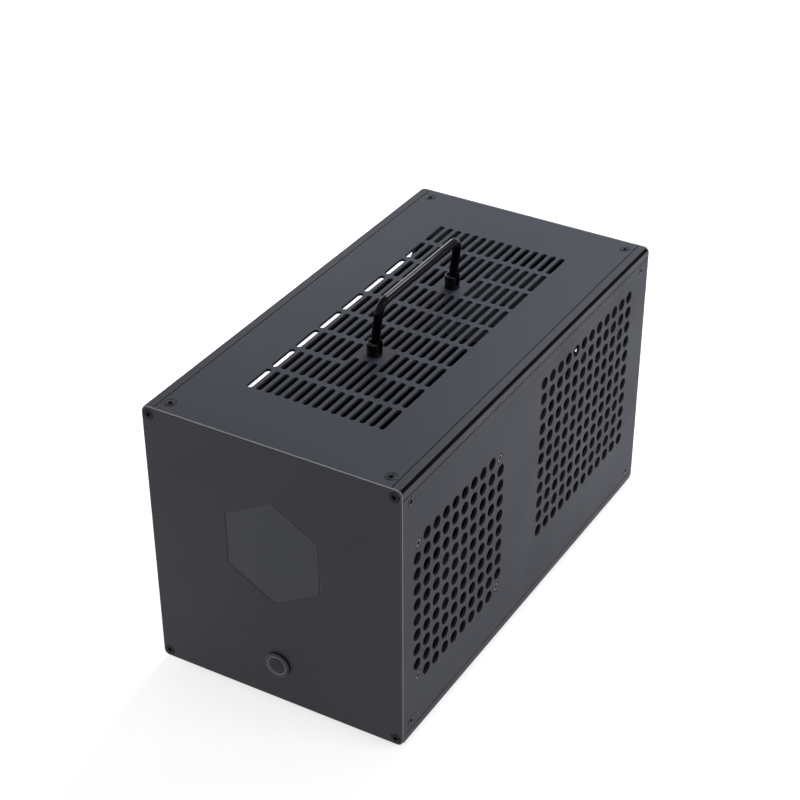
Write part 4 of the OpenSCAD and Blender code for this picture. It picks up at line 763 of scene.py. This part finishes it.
# studio
studio = dict(worldSeen=1.0, worldLight=0.13, floorTone=0.82, floorRoughness=0.9, floorSpecular=0.1,
              floorLift=0.74, floorFar=(0.7, 2.5), floorSize=8.0)


# One for the rays that see the white surroundings: the camera's own, and those off gloss or through glass.
def whiteSeen(tree):
    path = addNode(tree, "ShaderNodeLightPath").outputs
    either = mathOf(tree, "MAXIMUM", path["Is Camera Ray"], path["Is Glossy Ray"])
    return mathOf(tree, "MAXIMUM", either, path["Is Transmission Ray"])


world = bpy.data.worlds.new("studio")
bpy.context.scene.world = world
world.use_nodes = True
worldTree = world.node_tree
worldTree.nodes.clear()
seen = addNode(worldTree, "ShaderNodeBackground")
feedNamed(worldTree, seen, {"Strength": studio["worldSeen"], "Color": (1, 1, 1, 1)})
lit = addNode(worldTree, "ShaderNodeBackground")
feedNamed(worldTree, lit, {"Strength": studio["worldLight"], "Color": (1, 1, 1, 1)})
mixer = addNode(worldTree, "ShaderNodeMixShader")
for socket, value in zip(mixer.inputs, (whiteSeen(worldTree), lit.outputs[0], seen.outputs[0])):
    feed(worldTree, socket, value)
worldOut = addNode(worldTree, "ShaderNodeOutputWorld")
feed(worldTree, worldOut.inputs[0], mixer.outputs[0])

# The floor shows white: its own light rises from floorLift near the box to 1 far off, and its shadow stays.
floorMaterial = bpy.data.materials.new("paperFloor")
floorMaterial.use_nodes = True
floorTree = floorMaterial.node_tree
reach = vectorOf(floorTree, "LENGTH", addNode(floorTree, "ShaderNodeTexCoord").outputs["Object"])
fade = rangeOf(floorTree, reach, studio["floorFar"], (studio["floorLift"], 1.0))
feedNamed(floorTree, floorTree.nodes["Principled BSDF"], {
    "Base Color": (*(studio["floorTone"],) * 3, 1), "Roughness": studio["floorRoughness"],
    "Specular IOR Level": studio["floorSpecular"], "Emission Color": (1, 1, 1, 1),
    "Emission Strength": mathOf(floorTree, "MULTIPLY", whiteSeen(floorTree), fade),
})
half = studio["floorSize"]
floorMesh = bpy.data.meshes.new("floor")
floorCorners = [(-half, -half, 0), (half, -half, 0), (half, half, 0), (-half, half, 0)]
floorMesh.from_pydata(floorCorners, [], [(0, 1, 2, 3)])
floorMesh.materials.append(floorMaterial)
floorObject = bpy.data.objects.new("floor", floorMesh)
bpy.context.scene.collection.objects.link(floorObject)

cool, coolest = (0.9, 0.95, 1.0), (0.88, 0.93, 1.0)
middleAim = (0, 0, 0.1)
lamps = {
    "topSoft": dict(place=(0, 0.2, 2.4), aim=middleAim, size=(2.0, 2.0), power=0.4),
    "topBack": dict(place=(0, 0.68, 0.95), aim=(0, 0.1, 0.1), size=(0.5, 0.25), power=7.1, colour=coolest),
    "rightLow": dict(place=(0.75, 0, 0.62), aim=(0, 0.1, 0.1), size=(0.3, 0.3), power=1.5),
    "frontHigh": dict(place=(0, -1.6, 2.2), aim=middleAim, size=(0.12, 0.3), power=2.2),
    "edgeBack": dict(place=(-1.43, 1.81, 0.54), aim=(0, 0.17, 0.23), size=(0.4, 0.8), power=4.8),
    "rightBack": dict(place=(1.3, 1.1, 0.45), aim=(0, 0.1, 0.1), size=(0.5, 0.5), power=2.8, colour=cool),
    "leftStrip": dict(place=(-1.9, 0.5, 0.5), aim=(0, 0.17, 0.2), size=(2.0, 0.35), power=8.0),
    "leftLow": dict(place=(-1.6, -1.4, 0.5), aim=middleAim, size=(0.8, 0.8), power=3.0),
}
for lampName, lamp in lamps.items():
    lightData = bpy.data.lights.new(lampName, "AREA")
    lightData.shape = "RECTANGLE"
    lightData.size, lightData.size_y = lamp["size"]
    lightData.energy = lamp["power"]
    lightData.color = lamp.get("colour", (1, 1, 1))
    lampObject = bpy.data.objects.new(lampName, lightData)
    lampObject.location = lamp["place"]
    away = np.array(lamp["place"]) - np.array(lamp["aim"])
    away /= np.linalg.norm(away)
    lampObject.rotation_euler = (math.acos(away[2]), 0, math.atan2(away[1], away[0]) + math.pi / 2)
    bpy.context.scene.collection.objects.link(lampObject)
scene = bpy.context.scene
scene.view_settings.view_transform = "Standard"
print("stage ready")
